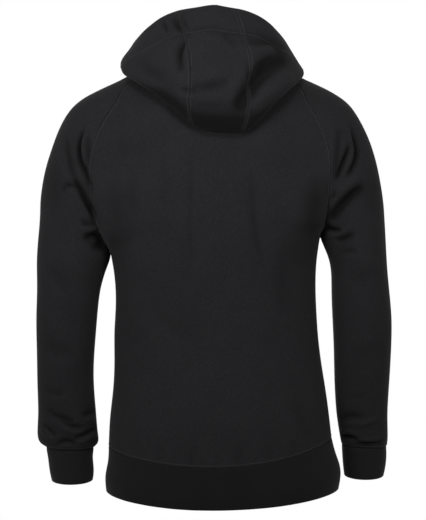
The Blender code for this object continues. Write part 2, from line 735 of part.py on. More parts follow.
def build_pull(finish):
    """The pull tab: a bar under the slider's crown, two arms past it, and the tab."""
    middle = crown_height()
    half, thick = PULL["width"] / 2, PULL["thick"] / 2
    eye, bar = PULL["eye"] / 2, PULL["bar"] / 2
    flat = (middle - thick, middle + thick)
    boxes = [
        ((0.0006 - half, half - 0.0006), flat, (-bar, bar)),
        ((eye, half - 0.0006), flat, (-PULL["drop"], bar)),
        ((0.0006 - half, -eye), flat, (-PULL["drop"], bar)),
        ((-half, half), flat, (-PULL["length"], -PULL["drop"])),
    ]
    pull = joined_blocks("zip_pull", slider_place(), boxes, finish)
    # Its origin lies on the bar's axis, where it swings.
    centre, out, _ = slider_place()
    axis = Vector(centre + out * middle)
    pull.data.transform(Matrix.Translation(-axis))
    pull.location = axis
    return pull


def build_zip(rows, tape, metal):
    top, low = ZIP_TOP, ZIP_BOTTOM
    back, front = ZIP_LINES["tape_back"], ZIP_LINES["tape_front"]
    heights = zip_heights(rows, low, top)
    for name, side in SIDES.items():
        x = sorted((side * TAPE_INNER, side * TAPE_OUTER))
        zip_strip(f"zip_tape_{name}", x[0], x[1], back, front, heights, tape)
    back, front = ZIP_LINES["chain_back"], ZIP_LINES["chain_front"]
    chain_top = ZIP_TOP - SLIDER_TOP - 0.0040
    heights = zip_heights(rows, low + BOX_LENGTH + 0.0008, chain_top)
    zip_strip("zip_chain", -CHAIN_HALF, CHAIN_HALF, back, front, heights, metal)
    box = ((-CHAIN_HALF, CHAIN_HALF), (-0.0046, -0.0006), (-BOX_LENGTH / 2, BOX_LENGTH / 2))
    joined_blocks("zip_box", zip_frame(low + BOX_LENGTH / 2), [box], metal)
    build_slider(metal)
    build_pull(metal)


# ---------------------------------------------------------------- the garment


def build_skin():
    skin = Skin()
    quarters = {(s, f): quarter(s, f) for s in SIDES.values() for f in (1, -1)}
    bands = {(s, f): band_quarter(s, f) for s in SIDES.values() for f in (1, -1)}
    for key, grid in bands.items():
        grid[0] = quarters[key][0]
    sleeves = {s: sleeve_rows(s) for s in SIDES.values()}

    # Grids run from the wearer's left, round the back, to the right, seen with the rows going up.
    back = np.concatenate([quarters[LEFT, 1][:, ::-1], quarters[RIGHT, 1][:, 1:]], axis=1)
    skin.patch(back, lambda j: "back", flip=False)
    skin.patch(quarters[LEFT, -1], lambda j: "front_left", flip=False)
    skin.patch(quarters[RIGHT, -1][:, ::-1], lambda j: "front_right", flip=False)

    loop = [bands[LEFT, -1], bands[LEFT, 1][:, ::-1][:, 1:], bands[RIGHT, 1][:, 1:]]
    loop.append(bands[RIGHT, -1][:, ::-1][:, 1:])
    skin.patch(np.concatenate(loop, axis=1), lambda j: "hem_band", flip=True)

    for name, side in SIDES.items():
        skin.patch(sleeves[side], lambda j, n=name: f"sleeve_{n}", flip=side == RIGHT)
        cuff = cuff_rows(side, sleeves[side][-1])
        skin.patch(cuff, lambda j, n=name: f"cuff_{n}", flip=side == RIGHT)

    skin.patch(hood_grid(quarters, sleeves), hood_piece, flip=False)
    rows = [row[0][2] for row in quarters[LEFT, -1]] + [row[0][2] for row in bands[LEFT, -1]]
    return skin, sorted(set(rows))


def hood_neck(quarters, sleeves, side):
    """One half of the neck seam, from the front centre to the back centre."""
    front = quarters[side, -1][-1]
    over = sleeves[side][0][::-1]
    back = quarters[side, 1][-1][::-1]
    return np.concatenate([front, over[1:], back[1:]])


def panel_column():
    """The column of the half neck seam where the hood's centre panel starts."""
    return 2 * QUARTER_COLUMNS + 1 + SLEEVE_COLUMNS - QUARTER_COLUMNS // 2


def hood_grid(quarters, sleeves):
    halves = []
    for side in SIDES.values():
        neck = hood_neck(quarters, sleeves, side)
        panel = azimuth_of(neck[panel_column()])
        start = azimuth_of(neck[0])
        halves.append([hood_column(p, side, panel, start) for p in neck])
    middle = (halves[0][-1] + halves[1][-1]) / 2
    halves[0][-1] = middle
    columns = halves[0] + halves[1][-2::-1]
    return np.array(columns).transpose(1, 0, 2)


def hood_piece(column):
    half = 2 * QUARTER_COLUMNS + 1 + SLEEVE_COLUMNS
    if column < panel_column():
        return "hood_left"
    if column >= 2 * half - panel_column():
        return "hood_right"
    return "hood_centre"


def main():
    for obj in list(bpy.data.objects):
        bpy.data.objects.remove(obj, do_unlink=True)

    fleece = material("black_fleece", BLACK, 0.9)
    rib = material("black_rib", RIB_BLACK, 0.9)
    tape = material("zip_tape", ZIP_BLACK, 0.8)
    metal = material("zip_metal", GUNMETAL, 0.35, 0.9)

    skin, front_rows = build_skin()
    push_folds(skin)
    normals = skin.normals()
    for name in sorted(set(skin.pieces)):
        outer, inward, faces = cut_piece(skin, name, normals)
        ribbed = name.startswith("cuff") or name == "hem_band"
        wall(name, outer, inward, faces, RIB if ribbed else CLOTH, rib if ribbed else fleece)
    build_zip(front_rows, tape, metal)


main()
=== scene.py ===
# Zip-up hoodie in its worn form with nobody in it, hood down on the back. Seen from behind.
# Metres, +Z up, the front faces -Y, the wearer's left is +X.
import math

import bpy
import numpy as np
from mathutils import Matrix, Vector, noise


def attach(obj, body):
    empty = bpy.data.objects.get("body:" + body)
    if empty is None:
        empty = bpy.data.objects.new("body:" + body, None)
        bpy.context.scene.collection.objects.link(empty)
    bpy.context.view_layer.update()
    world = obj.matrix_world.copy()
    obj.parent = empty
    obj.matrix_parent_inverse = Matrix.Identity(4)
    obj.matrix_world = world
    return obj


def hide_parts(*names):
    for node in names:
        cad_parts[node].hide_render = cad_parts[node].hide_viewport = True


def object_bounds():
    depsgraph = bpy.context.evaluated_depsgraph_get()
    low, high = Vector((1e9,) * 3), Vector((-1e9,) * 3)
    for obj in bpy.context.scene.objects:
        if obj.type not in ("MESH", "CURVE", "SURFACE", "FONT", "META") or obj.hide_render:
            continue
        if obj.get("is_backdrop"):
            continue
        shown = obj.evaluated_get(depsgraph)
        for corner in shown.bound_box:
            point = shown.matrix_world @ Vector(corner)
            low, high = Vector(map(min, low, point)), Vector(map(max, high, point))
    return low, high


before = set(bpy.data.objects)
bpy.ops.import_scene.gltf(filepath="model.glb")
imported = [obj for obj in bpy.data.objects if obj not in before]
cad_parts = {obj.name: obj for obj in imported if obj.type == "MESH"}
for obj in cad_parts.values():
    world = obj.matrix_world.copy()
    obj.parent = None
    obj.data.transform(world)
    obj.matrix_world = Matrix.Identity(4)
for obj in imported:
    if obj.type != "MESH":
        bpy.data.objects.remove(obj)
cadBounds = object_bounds()
print("frame loaded,", len(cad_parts), "nodes")

left, right = 1, -1  # the wearer's, as the sign of x; likewise a face of 1 is the back and -1 the front
sideNames = {left: "left", right: "right"}

# How finely the cloth is drawn, and how its pieces meet.
cloth = {
    "fleeceThickness": 0.002,
    "ribThickness": 0.003,  # rib knit, folded double
    "quarterColumns": 60,  # from a centre line to a side seam
    "sleeveColumns": 148,
    "lowerRows": 120,  # from the band to the armpit
    "stationRows": 6,  # rows for each station of the raglan seam
    "armRows": 204,  # from the armpit to the cuff
    "bandRows": 18,
    "cuffRows": 14,
    "hoodRows": 16,  # between two of the hood's guide lines
    "zipEdge": 0.0065,  # from the centre line to each front edge
    "zipFlat": 0.0190,  # the fronts lie flat over the zip tape as far as this
    "seamRings": ((0.0015, 0.0), (0.0006, 0.0003), (0.00005, 0.0011)),  # inset and depth of a sewn edge
    "hemRings": ((0.0006, 0.0), (0.00015, 0.0003), (0.0, 0.0009)),  # a rounded open edge
    "innerRound": 0.0004,  # the same edge on the inside
}


def smoothCurve(at, values):
    # natural cubic through one value, or one row of values, for each place
    at, values = np.asarray(at, float), np.asarray(values, float)
    steps, count = np.diff(at), len(at)
    system, target = np.eye(count), np.zeros_like(values)
    for i in range(1, count - 1):
        system[i, i - 1 : i + 2] = steps[i - 1], 2 * (steps[i - 1] + steps[i]), steps[i]
        target[i] = 6 * ((values[i + 1] - values[i]) / steps[i] - (values[i] - values[i - 1]) / steps[i - 1])
    bend = np.linalg.solve(system, target)

    def read(place):
        place = np.clip(np.asarray(place, float), at[0], at[-1])
        i = np.clip(np.searchsorted(at, place) - 1, 0, count - 2)
        step = at[i + 1] - at[i]
        b = (place - at[i]) / step
        if place.ndim and values.ndim > 1:
            b, step = b[:, None], step[:, None]
        a = 1 - b
        bent = ((a**3 - a) * bend[i] + (b**3 - b) * bend[i + 1]) * step**2 / 6
        return a * values[i] + b * values[i + 1] + bent

    return read


def shapeTable(names, rows, byRow=False):
    # rows of sizes with named columns, read smoothly along the first column or along the row number
    rows, names = np.array(rows, float), names.split()
    at = np.arange(len(rows), dtype=float) if byRow else rows[:, 0]
    order = np.argsort(at)
    curve = smoothCurve(at[order], rows[order])
    return lambda place: dict(zip(names, curve(place)))


# Centre lines of the back and the front: how far each stands from the origin at a height.
backLine = shapeTable(
    "z y",
    [
        (-0.700, 0.1150),
        (-0.660, 0.1175),
        (-0.624, 0.1130),
        (-0.570, 0.1095),
        (-0.510, 0.1010),
        (-0.456, 0.0945),
        (-0.400, 0.0915),
        (-0.344, 0.0940),
        (-0.287, 0.1010),
        (-0.250, 0.1055),
        (-0.200, 0.1090),
        (-0.150, 0.1090),
        (-0.100, 0.1030),
        (-0.060, 0.0945),
        (-0.030, 0.0855),
        (-0.003, 0.0720),
    ],
)
frontLine = shapeTable(
    "z y",
    [
        (-0.700, -0.1105),
        (-0.675, -0.1140),
        (-0.658, -0.1155),
        (-0.631, -0.1145),
        (-0.606, -0.1120),
        (-0.550, -0.1110),
        (-0.500, -0.1080),
        (-0.450, -0.1065),
        (-0.400, -0.1070),
        (-0.350, -0.1110),
        (-0.300, -0.1165),
        (-0.250, -0.1210),
        (-0.200, -0.1220),
        (-0.160, -0.1190),
        (-0.130, -0.1140),
        (-0.100, -0.1060),
        (-0.075, -0.0955),
        (-0.055, -0.0850),
    ],
)
backNeck, frontNeck = -0.003, -0.055

# The body from the band's seam (level 0) to the armpits (level 1).
bodyShape = shapeTable(
    "level leftX leftZ rightX rightZ backZ frontZ",
    [
        (0.00, 0.1712, -0.606, 0.1944, -0.592, -0.6244, -0.606),
        (0.15, 0.1688, -0.559, 0.1888, -0.543, -0.5680, -0.553),
        (0.30, 0.1636, -0.512, 0.1815, -0.494, -0.5120, -0.499),
        (0.45, 0.1612, -0.465, 0.1740, -0.444, -0.4560, -0.446),
        (0.60, 0.1607, -0.418, 0.1694, -0.395, -0.4000, -0.392),
        (0.75, 0.1585, -0.371, 0.1675, -0.346, -0.3440, -0.339),
        (0.90, 0.1612, -0.323, 0.1697, -0.297, -0.2870, -0.286),
        (1.00, 0.1665, -0.292, 0.1745, -0.264, -0.2500, -0.250),
    ],
)
sideY = -0.005

# The band from its seam (level 0) to its lower edge (level 1). It hangs lower at the back.
bandShape = shapeTable(
    "level leftX leftZ rightX rightZ backY backZ frontY frontZ",
    [
        (0.00, 0.1712, -0.606, 0.1944, -0.592, 0.1130, -0.6244, -0.1120, -0.606),
        (0.35, 0.1722, -0.631, 0.2015, -0.619, 0.1160, -0.6480, -0.1145, -0.631),
        (0.75, 0.1765, -0.659, 0.2095, -0.651, 0.1180, -0.6750, -0.1155, -0.658),
        (1.00, 0.1750, -0.680, 0.2060, -0.676, 0.1165, -0.6910, -0.1140, -0.675),
    ],
)

# Raglan sleeve, section by section: its outermost line, its innermost line, half its depth, and
# where it opens. An opening of -90 degrees closes it into a ring, as it is below the armpit.
sleeveShape = shapeTable(
    "leftOut rightOut outZ leftIn leftInZ rightIn rightInZ depth open midY",
    [
        (0.0880, 0.0880, 0.022, 0.0790, 0.012, 0.0790, 0.0120, 0.049, 35, -0.004),
        (0.1190, 0.1190, 0.008, 0.1085, -0.003, 0.1080, -0.0040, 0.062, 36, -0.004),
        (0.1490, 0.1490, -0.008, 0.1385, -0.0215, 0.1375, -0.0235, 0.070, 36, -0.004),
        (0.1755, 0.1775, -0.021, 0.1515, -0.0435, 0.1480, -0.0440, 0.077, 34, -0.004),
        (0.2070, 0.2070, -0.0375, 0.1660, -0.066, 0.1600, -0.0650, 0.079, 30, -0.004),
        (0.2312, 0.2280, -0.057, 0.1800, -0.091, 0.1730, -0.0910, 0.078, 22, -0.004),
        (0.2490, 0.2450, -0.086, 0.1900, -0.115, 0.1820, -0.1150, 0.075, 14, -0.004),
        (0.2618, 0.2585, -0.119, 0.1960, -0.141, 0.1862, -0.1400, 0.072, 5, -0.004),
        (0.2735, 0.2692, -0.158, 0.1980, -0.173, 0.1865, -0.1690, 0.068, -8, -0.004),
        (0.2802, 0.2760, -0.197, 0.1955, -0.212, 0.1840, -0.2010, 0.065, -22, -0.005),
        (0.2815, 0.2787, -0.222, 0.1845, -0.248, 0.1812, -0.2280, 0.064, -40, -0.005),
        (0.2825, 0.2800, -0.240, 0.1750, -0.272, 0.1780, -0.2490, 0.063, -60, -0.005),
        (0.2838, 0.2810, -0.254, 0.1678, -0.292, 0.1755, -0.2650, 0.062, -90, -0.005),
        (0.2868, 0.2830, -0.288, 0.1745, -0.316, 0.1870, -0.2940, 0.061, -90, -0.005),
        (0.2876, 0.2852, -0.320, 0.1815, -0.338, 0.1930, -0.3230, 0.059, -90, -0.005),
        (0.2878, 0.2888, -0.355, 0.1865, -0.362, 0.1940, -0.3570, 0.057, -90, -0.006),
        (0.2898, 0.2925, -0.400, 0.1905, -0.400, 0.1960, -0.4000, 0.054, -90, -0.009),
        (0.2896, 0.2925, -0.450, 0.1945, -0.450, 0.1986, -0.4500, 0.052, -90, -0.014),
        (0.2896, 0.2902, -0.502, 0.1966, -0.502, 0.2006, -0.5020, 0.050, -90, -0.021),
        (0.2892, 0.2890, -0.550, 0.1942, -0.550, 0.2044, -0.5500, 0.049, -90, -0.030),
        (0.2910, 0.2902, -0.585, 0.1920, -0.585, 0.2094, -0.5850, 0.048, -90, -0.036),
        (0.2880, 0.2902, -0.604, 0.1910, -0.605, 0.2125, -0.6020, 0.046, -90, -0.039),
        (0.2765, 0.2885, -0.612, 0.1990, -0.614, 0.2145, -0.6090, 0.040, -90, -0.040),
    ],
    byRow=True,
)
armpitRow, lastRow = 12, 22

# Cuff, from its seam (level 0) to its lower edge (level 1).
cuffShape = shapeTable(
    "level leftOut rightOut leftIn rightIn leftZ rightZ depth midY",
    [
        (0.0, 0.2765, 0.2885, 0.1990, 0.2145, -0.613, -0.610, 0.0400, -0.0400),
        (0.4, 0.2742, 0.2890, 0.2003, 0.2155, -0.634, -0.629, 0.0385, -0.0420),
        (0.8, 0.2715, 0.2868, 0.1990, 0.2175, -0.658, -0.651, 0.0380, -0.0440),
        (1.0, 0.2690, 0.2845, 0.2005, 0.2190, -0.670, -0.662, 0.0370, -0.0450),
    ],
)
cuffTilt = math.radians(4)  # the wrist leans forward
cuffBlend = 0.35  # level at which the cuff has left the sleeve's own outline

# The hood, down. Its wall rises from the neck seam to a crest, hangs to a fold on the back, and
# rises again through a belly to the face edge. Rows go round from the front (0) to the back (180)
# and one past it, which keeps the middle of the back smooth.
hoodShape = shapeTable(
    "azimuth crestR crestZ foldR leftFoldZ rightFoldZ bellyR bellyZ edgeR edgeZ turn half rightIn",
    [
        (0, 0.0885, -0.0490, 0.0925, -0.0405, -0.0405, 0.0975, -0.0325, 0.1020, -0.0240, 62, 0.0015, 0.000),
        (30, 0.0990, -0.0220, 0.1050, -0.0170, -0.0170, 0.1100, -0.0130, 0.1140, -0.0080, 50, 0.0015, 0.000),
        (60, 0.1080, 0.0270, 0.1150, 0.0260, 0.0250, 0.1230, 0.0250, 0.1290, 0.0260, 20, 0.0020, 0.001),
        (80, 0.1090, 0.0470, 0.1340, 0.0180, 0.0160, 0.1400, 0.0230, 0.1345, 0.0360, 5, 0.0040, 0.005),
        (93, 0.1070, 0.0540, 0.1400, 0.0080, 0.0060, 0.1485, 0.0165, 0.1345, 0.0405, 0, 0.0050, 0.010),
        (105, 0.1040, 0.0560, 0.1425, -0.0020, -0.0050, 0.1530, 0.0120, 0.1310, 0.0500, 0, 0.0060, 0.010),
        (118, 0.1000, 0.0550, 0.1430, -0.0125, -0.0200, 0.1535, 0.0070, 0.1240, 0.0650, 0, 0.0065, 0.008),
        (126, 0.0965, 0.0540, 0.1415, -0.0220, -0.0335, 0.1525, 0.0040, 0.1190, 0.0745, 0, 0.0068, 0.006),
        (134, 0.0930, 0.0520, 0.1400, -0.0330, -0.0500, 0.1510, 0.0010, 0.1140, 0.0830, 0, 0.0070, 0.005),
        (142, 0.0900, 0.0505, 0.1375, -0.0455, -0.0690, 0.1500, -0.0030, 0.1095, 0.0890, 0, 0.0072, 0.004),
        (151, 0.0880, 0.0490, 0.1345, -0.0600, -0.0875, 0.1490, -0.0070, 0.1050, 0.0935, 0, 0.0075, 0.003),
        (165, 0.0865, 0.0475, 0.1320, -0.0815, -0.0925, 0.1485, -0.0130, 0.1015, 0.0970, 0, 0.0080, 0.001),
        (180, 0.0860, 0.0470, 0.1300, -0.0905, -0.0905, 0.1480, -0.0150, 0.1000, 0.1005, 0, 0.0080, 0.000),
        (195, 0.0865, 0.0475, 0.1320, -0.0870, -0.0870, 0.1485, -0.0130, 0.1015, 0.0970, 0, 0.0080, 0.001),
    ],
)
hood = {
    "guides": ("neck", "crest", "crest", "fold", "fold", "belly", "edge"),
    "spacing": 0.75,  # 1 spaces the guides along a line by their distance, and 0 evenly
    "panelHalf": 0.042,  # half the width of the centre panel
    "panelShift": (0, 0, 0, 0.006, 0.0075, 0.0115, -0.008),  # its lean to the right, at each guide
    "faceHem": 0.046,  # the hem's stitch lies this far below the face edge
    "settle": 0.003,  # how much nearer the back its fold hangs
    "tuckAzimuths": (112, 152),  # where the fold starts to turn under, and where it is all the way
    "tuckTurn": 50.0,  # its underside slopes in by this many degrees at the back
    "tuckHalf": 0.008,  # and is this much fatter there, each way
    "tuckLift": 0.0075,
    "rollShadeMm": 8.0,  # painted shade on its underside, as dark as a fold this deep in mm
    "rollGuides": (3.6, 4.35),  # full as far as the first, gone at the second, in guides from the neck
    "rollBack": (0.01, 0.06),  # only behind the neck: none at the first y, full at the second
}


def unit(vectors):
    vectors = np.asarray(vectors, float)
    return vectors / np.maximum(np.linalg.norm(vectors, axis=-1, keepdims=True), 1e-9)


def ease(value, low, high):
    t = np.clip((value - low) / (high - low), 0.0, 1.0)
    return t * t * (3 - 2 * t)


def runAlong(line):
    # how far along a line of points each of them lies
    return np.concatenate([[0], np.cumsum(np.linalg.norm(np.diff(line, axis=0), axis=1))])


def bezier(p0, p1, p2, p3, t):
    t = np.asarray(t, float)[:, None]
    s = 1 - t
    return s**3 * p0 + 3 * s**2 * t * p1 + 3 * s * t**2 * p2 + t**3 * p3


def sleeveFrame(side, station):
    row = sleeveShape(station)
    name = sideNames[side]
    outer = np.array([side * row[name + "Out"], 0.0, row["outZ"]])
    inner = np.array([side * row[name + "In"], 0.0, row[name + "InZ"]])
    opening = math.radians(max(row["open"], -90.0)) if station < armpitRow else -math.pi / 2
    reach = (outer - inner) / (1 - math.sin(opening))
    return outer - reach + np.array([0.0, row["midY"], 0.0]), reach, row["depth"], opening


def sleeveSection(side, station):
    # from the back seam over the outside to the front seam
    centre, reach, depth, opening = sleeveFrame(side, station)
    turns = np.linspace(opening, math.pi - opening, cloth["sleeveColumns"] + 1)
    points = centre + np.outer(np.sin(turns), reach)
    points[:, 1] += depth * np.cos(turns)
    if station >= armpitRow:
        points[-1] = points[0]
    return points


def seamPoint(side, station, face):
    # where the raglan seam crosses a section: face 1 is the back seam, -1 the front one
    centre, reach, depth, opening = sleeveFrame(side, station)
    point = centre + reach * math.sin(opening)
    point[1] += face * depth * math.cos(opening)
    return point


# How full a row of the body is, as it runs from a centre line to its side or to the raglan seam. The
# numbers in pairs say how far its two ends carry on straight, as shares of its width and depth.
rowCurve = {
    "oval": (0.60, 0.56),
    "square": (0.14, 0.24),  # more than that, where the body is squarer under the arms
    "squareLevel": 0.35,  # from this level of the body up
    "squareStations": 4,  # to this many stations above the armpit
    "shoulder": (0.42, 0.34),
    "smoothOpening": (-35, 12),  # degrees of the sleeve's opening over which the seam turns smooth
}


def seamHeading(side, station, face, toward):
    # the way the body's cloth runs as it reaches the raglan seam, and how smoothly it goes on
    _, reach, depth, opening = sleeveFrame(side, station)
    across = reach * math.cos(opening)
    across[1] -= face * depth * math.sin(opening)
    step = 0.05  # stations, to find the way the seam runs
    along = seamPoint(side, station + step, face) - seamPoint(side, max(station - step, 0), face)
    normal = unit(np.cross(across, along))
    smooth = toward - np.dot(toward, normal) * normal
    share = ease(math.degrees(opening), *rowCurve["smoothOpening"])
    return unit((1 - share) * np.array([0.0, -face, 0.0]) + share * unit(smooth)), share


def halfRow(centre, end, heading, share, side, square=0.0):
    # a quarter of an oval low down, a shallow curve across the shoulder
    across, deep = abs(end[0] - centre[0]), abs(end[1] - centre[1])
    near, far = (oval + more * square for oval, more in zip(rowCurve["oval"], rowCurve["square"]))
    highNear, highFar = rowCurve["shoulder"]
    near = (1 - share) * near * across + share * highNear * across
    far = (1 - share) * far * deep + share * highFar * np.linalg.norm(end - centre)
    out = np.array([side * near, 0.0, 0.0])
    places = np.linspace(0, 1, cloth["quarterColumns"] + 1)
    return bezier(centre, centre + out, end - heading * far, end, places)


def flatStart(row, side):
    # a front row that starts at the zip's edge and lies flat over the tape
    places = np.linspace(cloth["zipEdge"], cloth["zipFlat"], 5)[:-1]
    return np.concatenate([[[side * x, row[0][1], row[0][2]] for x in places], row])


def bodyRows(side, face, read, levels):
    name = sideNames[side]
    rows = []
    for level in levels:
        row = read(level)
        z = row["backZ" if face == 1 else "frontZ"]
        y = row.get("backY" if face == 1 else "frontY", (backLine if face == 1 else frontLine)(z)["y"])
        centre = np.array([0.0 if face == 1 else side * cloth["zipFlat"], y, z])
        end = np.array([side * row[name + "X"], sideY, row[name + "Z"]])
        square = ease(level, rowCurve["squareLevel"], 1.0) if read is bodyShape else 0.0
        points = halfRow(centre, end, np.array([0.0, -face, 0.0]), 0.0, side, square)
        rows.append(points if face == 1 else flatStart(points, side))
    return rows


raglanStations = np.linspace(armpitRow, 0, armpitRow * cloth["stationRows"] + 1)


def shoulderRows(side, face):
    # from the armpit up to the neck, each row ending on the raglan seam
    neckZ, line = (backNeck, backLine) if face == 1 else (frontNeck, frontLine)
    armpitZ = bodyShape(1)["backZ" if face == 1 else "frontZ"]
    rows = []
    for station in raglanStations[1:]:
        z = neckZ + (armpitZ - neckZ) * station / armpitRow
        centre = np.array([0.0 if face == 1 else side * cloth["zipFlat"], line(z)["y"], z])
        end = seamPoint(side, station, face)
        heading, share = seamHeading(side, station, face, unit(end - centre))
        square = ease(station, armpitRow - rowCurve["squareStations"], armpitRow)
        points = halfRow(centre, end, heading, share, side, square)
        rows.append(points if face == 1 else flatStart(points, side))
    return rows


def bodyQuarter(side, face):
    rows = bodyRows(side, face, bodyShape, np.linspace(0, 1, cloth["lowerRows"] + 1))
    rows[-1][-1] = seamPoint(side, armpitRow, face)
    return np.array(rows + shoulderRows(side, face))


def sleeveRows(side):
    below = np.linspace(armpitRow, lastRow, cloth["armRows"] + 1)
    return np.array([sleeveSection(side, s) for s in list(raglanStations[::-1][:-1]) + list(below)])


def cuffRows(side, seam):
    name = sideNames[side]
    turns = np.linspace(-math.pi / 2, 3 * math.pi / 2, cloth["sleeveColumns"] + 1)
    rows = [seam]
    for level in np.linspace(0, 1, cloth["cuffRows"] + 1)[1:]:
        row = cuffShape(level)
        outer, inner = row[name + "Out"], row[name + "In"]
        y = row["midY"] + row["depth"] * np.cos(turns)
        x = side * ((outer + inner) / 2 + (outer - inner) / 2 * np.sin(turns))
        ring = np.stack([x, y, row[name + "Z"] - (y - row["midY"]) * math.sin(cuffTilt)], axis=1)
        share = ease(level, 0, cuffBlend)
        lowered = seam + np.array([0, 0, row[name + "Z"] - cuffShape(0)[name + "Z"]])
        ring = ring * share + lowered * (1 - share)
        ring[-1] = ring[0]
        rows.append(ring)
    return np.array(rows)


def azimuthOf(point):
    return math.degrees(math.atan2(abs(point[0]), -point[1]))


def hoodGuides(neck, side, panelAzimuth, startAzimuth):
    # the guide points of one upright line of the hood, above one point of the neck seam
    azimuth, points = azimuthOf(neck), [neck]
    first, last = hoodShape(0), hoodShape(180)
    for guide, name in list(enumerate(hood["guides"]))[1:]:
        reachBack = last["edgeR" if name == "edge" else "foldR"]
        lean = -side * hood["panelShift"][guide]
        ownPanel = 180 - math.degrees(math.asin((hood["panelHalf"] + lean) / reachBack))
        ownStart = math.degrees(math.asin(cloth["zipEdge"] / first["foldR"]))
        if azimuth <= panelAzimuth:
            gone = (azimuth - startAzimuth) / (panelAzimuth - startAzimuth)
            turned = ownStart + (ownPanel - ownStart) * gone
        else:
            middle = 180 + math.degrees(math.asin(lean / reachBack))
            gone = (azimuth - panelAzimuth) / (180 - panelAzimuth)
            turned = ownPanel + (middle - ownPanel) * gone
        row = hoodShape(min(turned, 180))
        radius, height = row[name + "R"], row.get(name + "Z", 0.0)
        if name == "fold":
            tuck = ease(turned, *hood["tuckAzimuths"])
            radius -= hood["settle"] * tuck
            height = row[sideNames[side] + "FoldZ"] + hood["tuckLift"] * tuck
        if side == right and name in ("belly", "edge"):
            radius -= row["rightIn"]
        if name in ("crest", "fold"):
            # the second guide of a pair lies outside the first
            way = 1 if hood["guides"][guide - 1] == name else -1
            half, turn = row["half"], row["turn"]
            if name == "fold":
                half, turn = half + hood["tuckHalf"] * tuck, turn + hood["tuckTurn"] * tuck
            radius += way * half * math.cos(math.radians(turn))
            height += way * half * math.sin(math.radians(turn))
        bearing = math.radians(turned)
        points.append(np.array([side * radius * math.sin(bearing), -radius * math.cos(bearing), height]))
    return np.array(points)


def hoodColumn(neck, side, panelAzimuth, startAzimuth):
    points = hoodGuides(neck, side, panelAzimuth, startAzimuth)
    steps = np.linalg.norm(np.diff(points, axis=0), axis=1) ** hood["spacing"]
    knots = np.concatenate([[0], np.cumsum(steps)])
    guides = len(hood["guides"]) - 1
    places = np.arange(0, guides * cloth["hoodRows"] + 1) / cloth["hoodRows"]
    rows = smoothCurve(knots, points)(np.interp(places, np.arange(guides + 1), knots))
    rows[0] = neck
    return rows


def hoodGrid(quarters, sleeves):
    halves = []
    for side in (left, right):
        front, sleeve, back = quarters[side, -1][-1], sleeves[side][0], quarters[side, 1][-1]
        neck = np.concatenate([front, sleeve[-2::-1], back[-2::-1]])
        panel, start = azimuthOf(neck[panelColumn]), azimuthOf(neck[0])
        halves.append([hoodColumn(p, side, panel, start) for p in neck])
    halves[0][-1] = (halves[0][-1] + halves[1][-1]) / 2
    return np.array(halves[0] + halves[1][-2::-1]).transpose(1, 0, 2)


halfNeck = 2 * cloth["quarterColumns"] + 4 + cloth["sleeveColumns"]  # columns of half the neck seam
panelColumn = halfNeck - cloth["quarterColumns"] // 2
panelEdges = (panelColumn, 2 * halfNeck - panelColumn)


def hoodPiece(columns):
    names = np.array(["hoodLeft", "hoodCentre", "hoodRight"])
    return names[np.searchsorted(panelEdges, columns, side="right")]


# The whole skin as grids of points. A grid's rows and columns are the cloth's own length and width.
quarters = {(s, f): bodyQuarter(s, f) for s in (left, right) for f in (1, -1)}
bandLevels = np.linspace(0, 1, cloth["bandRows"] + 1)
bands = {(s, f): np.array(bodyRows(s, f, bandShape, bandLevels)) for s in (left, right) for f in (1, -1)}
for key, grid in bands.items():
    grid[0] = quarters[key][0]
bandParts = [bands[left, -1], bands[left, 1][:, -2::-1], bands[right, 1][:, 1:], bands[right, -1][:, -2::-1]]
sleeveGrids = {s: sleeveRows(s) for s in (left, right)}

# Each grid has its points, the sewn piece or pieces it makes, and whether its faces turn the other way.
grids = {
    "back": (np.concatenate([quarters[left, 1][:, ::-1], quarters[right, 1][:, 1:]], axis=1), "back", False),
    "frontLeft": (quarters[left, -1], "frontLeft", False),
    "frontRight": (quarters[right, -1][:, ::-1], "frontRight", False),
    "band": (np.concatenate(bandParts, axis=1), "hemBand", True),
    "hood": (hoodGrid(quarters, sleeveGrids), hoodPiece, False),
}
for side, name in sideNames.items():
    word = name.capitalize()
    grids["sleeve" + word] = (sleeveGrids[side], "sleeve" + word, side == right)
    grids["cuff" + word] = (cuffRows(side, sleeveGrids[side][-1]), "cuff" + word, side == right)


def joinGrids():
    # one skin, in which the grids share their points along every seam
    stacked = np.concatenate([g[0].reshape(-1, 3) for g in grids.values()])
    microns = np.round(stacked * 1e6).astype(np.int64)
    _, first, shared = np.unique(microns, axis=0, return_index=True, return_inverse=True)
    shared = shared.reshape(-1)
    index, quads, owners, places, start = {}, [], [], [], 0
    for name, (grid, owner, flip) in grids.items():
        rows, columns = grid.shape[:2]
        own = shared[start : start + rows * columns].reshape(rows, columns)
        start += rows * columns
        index[name] = own
        # width and length of the cloth at each point, in metres, for the knit
        u = np.concatenate([[0], np.cumsum(np.linalg.norm(np.diff(grid, axis=1), axis=2).mean(axis=0))])
        v = np.concatenate([[0], np.cumsum(np.linalg.norm(np.diff(grid, axis=0), axis=2).mean(axis=1))])
        uv = np.stack(np.meshgrid(u, v), axis=-1)
        corners = [(0, 0), (0, 1), (1, 1), (1, 0)]
        if flip:
            corners = corners[::-1]
        cut = lambda a, i, j: a[i : rows - 1 + i, j : columns - 1 + j]
        quads.append(np.stack([cut(own, i, j) for i, j in corners], axis=-1).reshape(-1, 4))
        places.append(np.stack([cut(uv, i, j) for i, j in corners], axis=2).reshape(-1, 4, 2))
        named = owner(np.arange(columns - 1)) if callable(owner) else np.array([owner] * (columns - 1))
        owners.append(np.tile(named, rows - 1))
    return stacked[first], np.concatenate(quads), np.concatenate(owners), np.concatenate(places), index


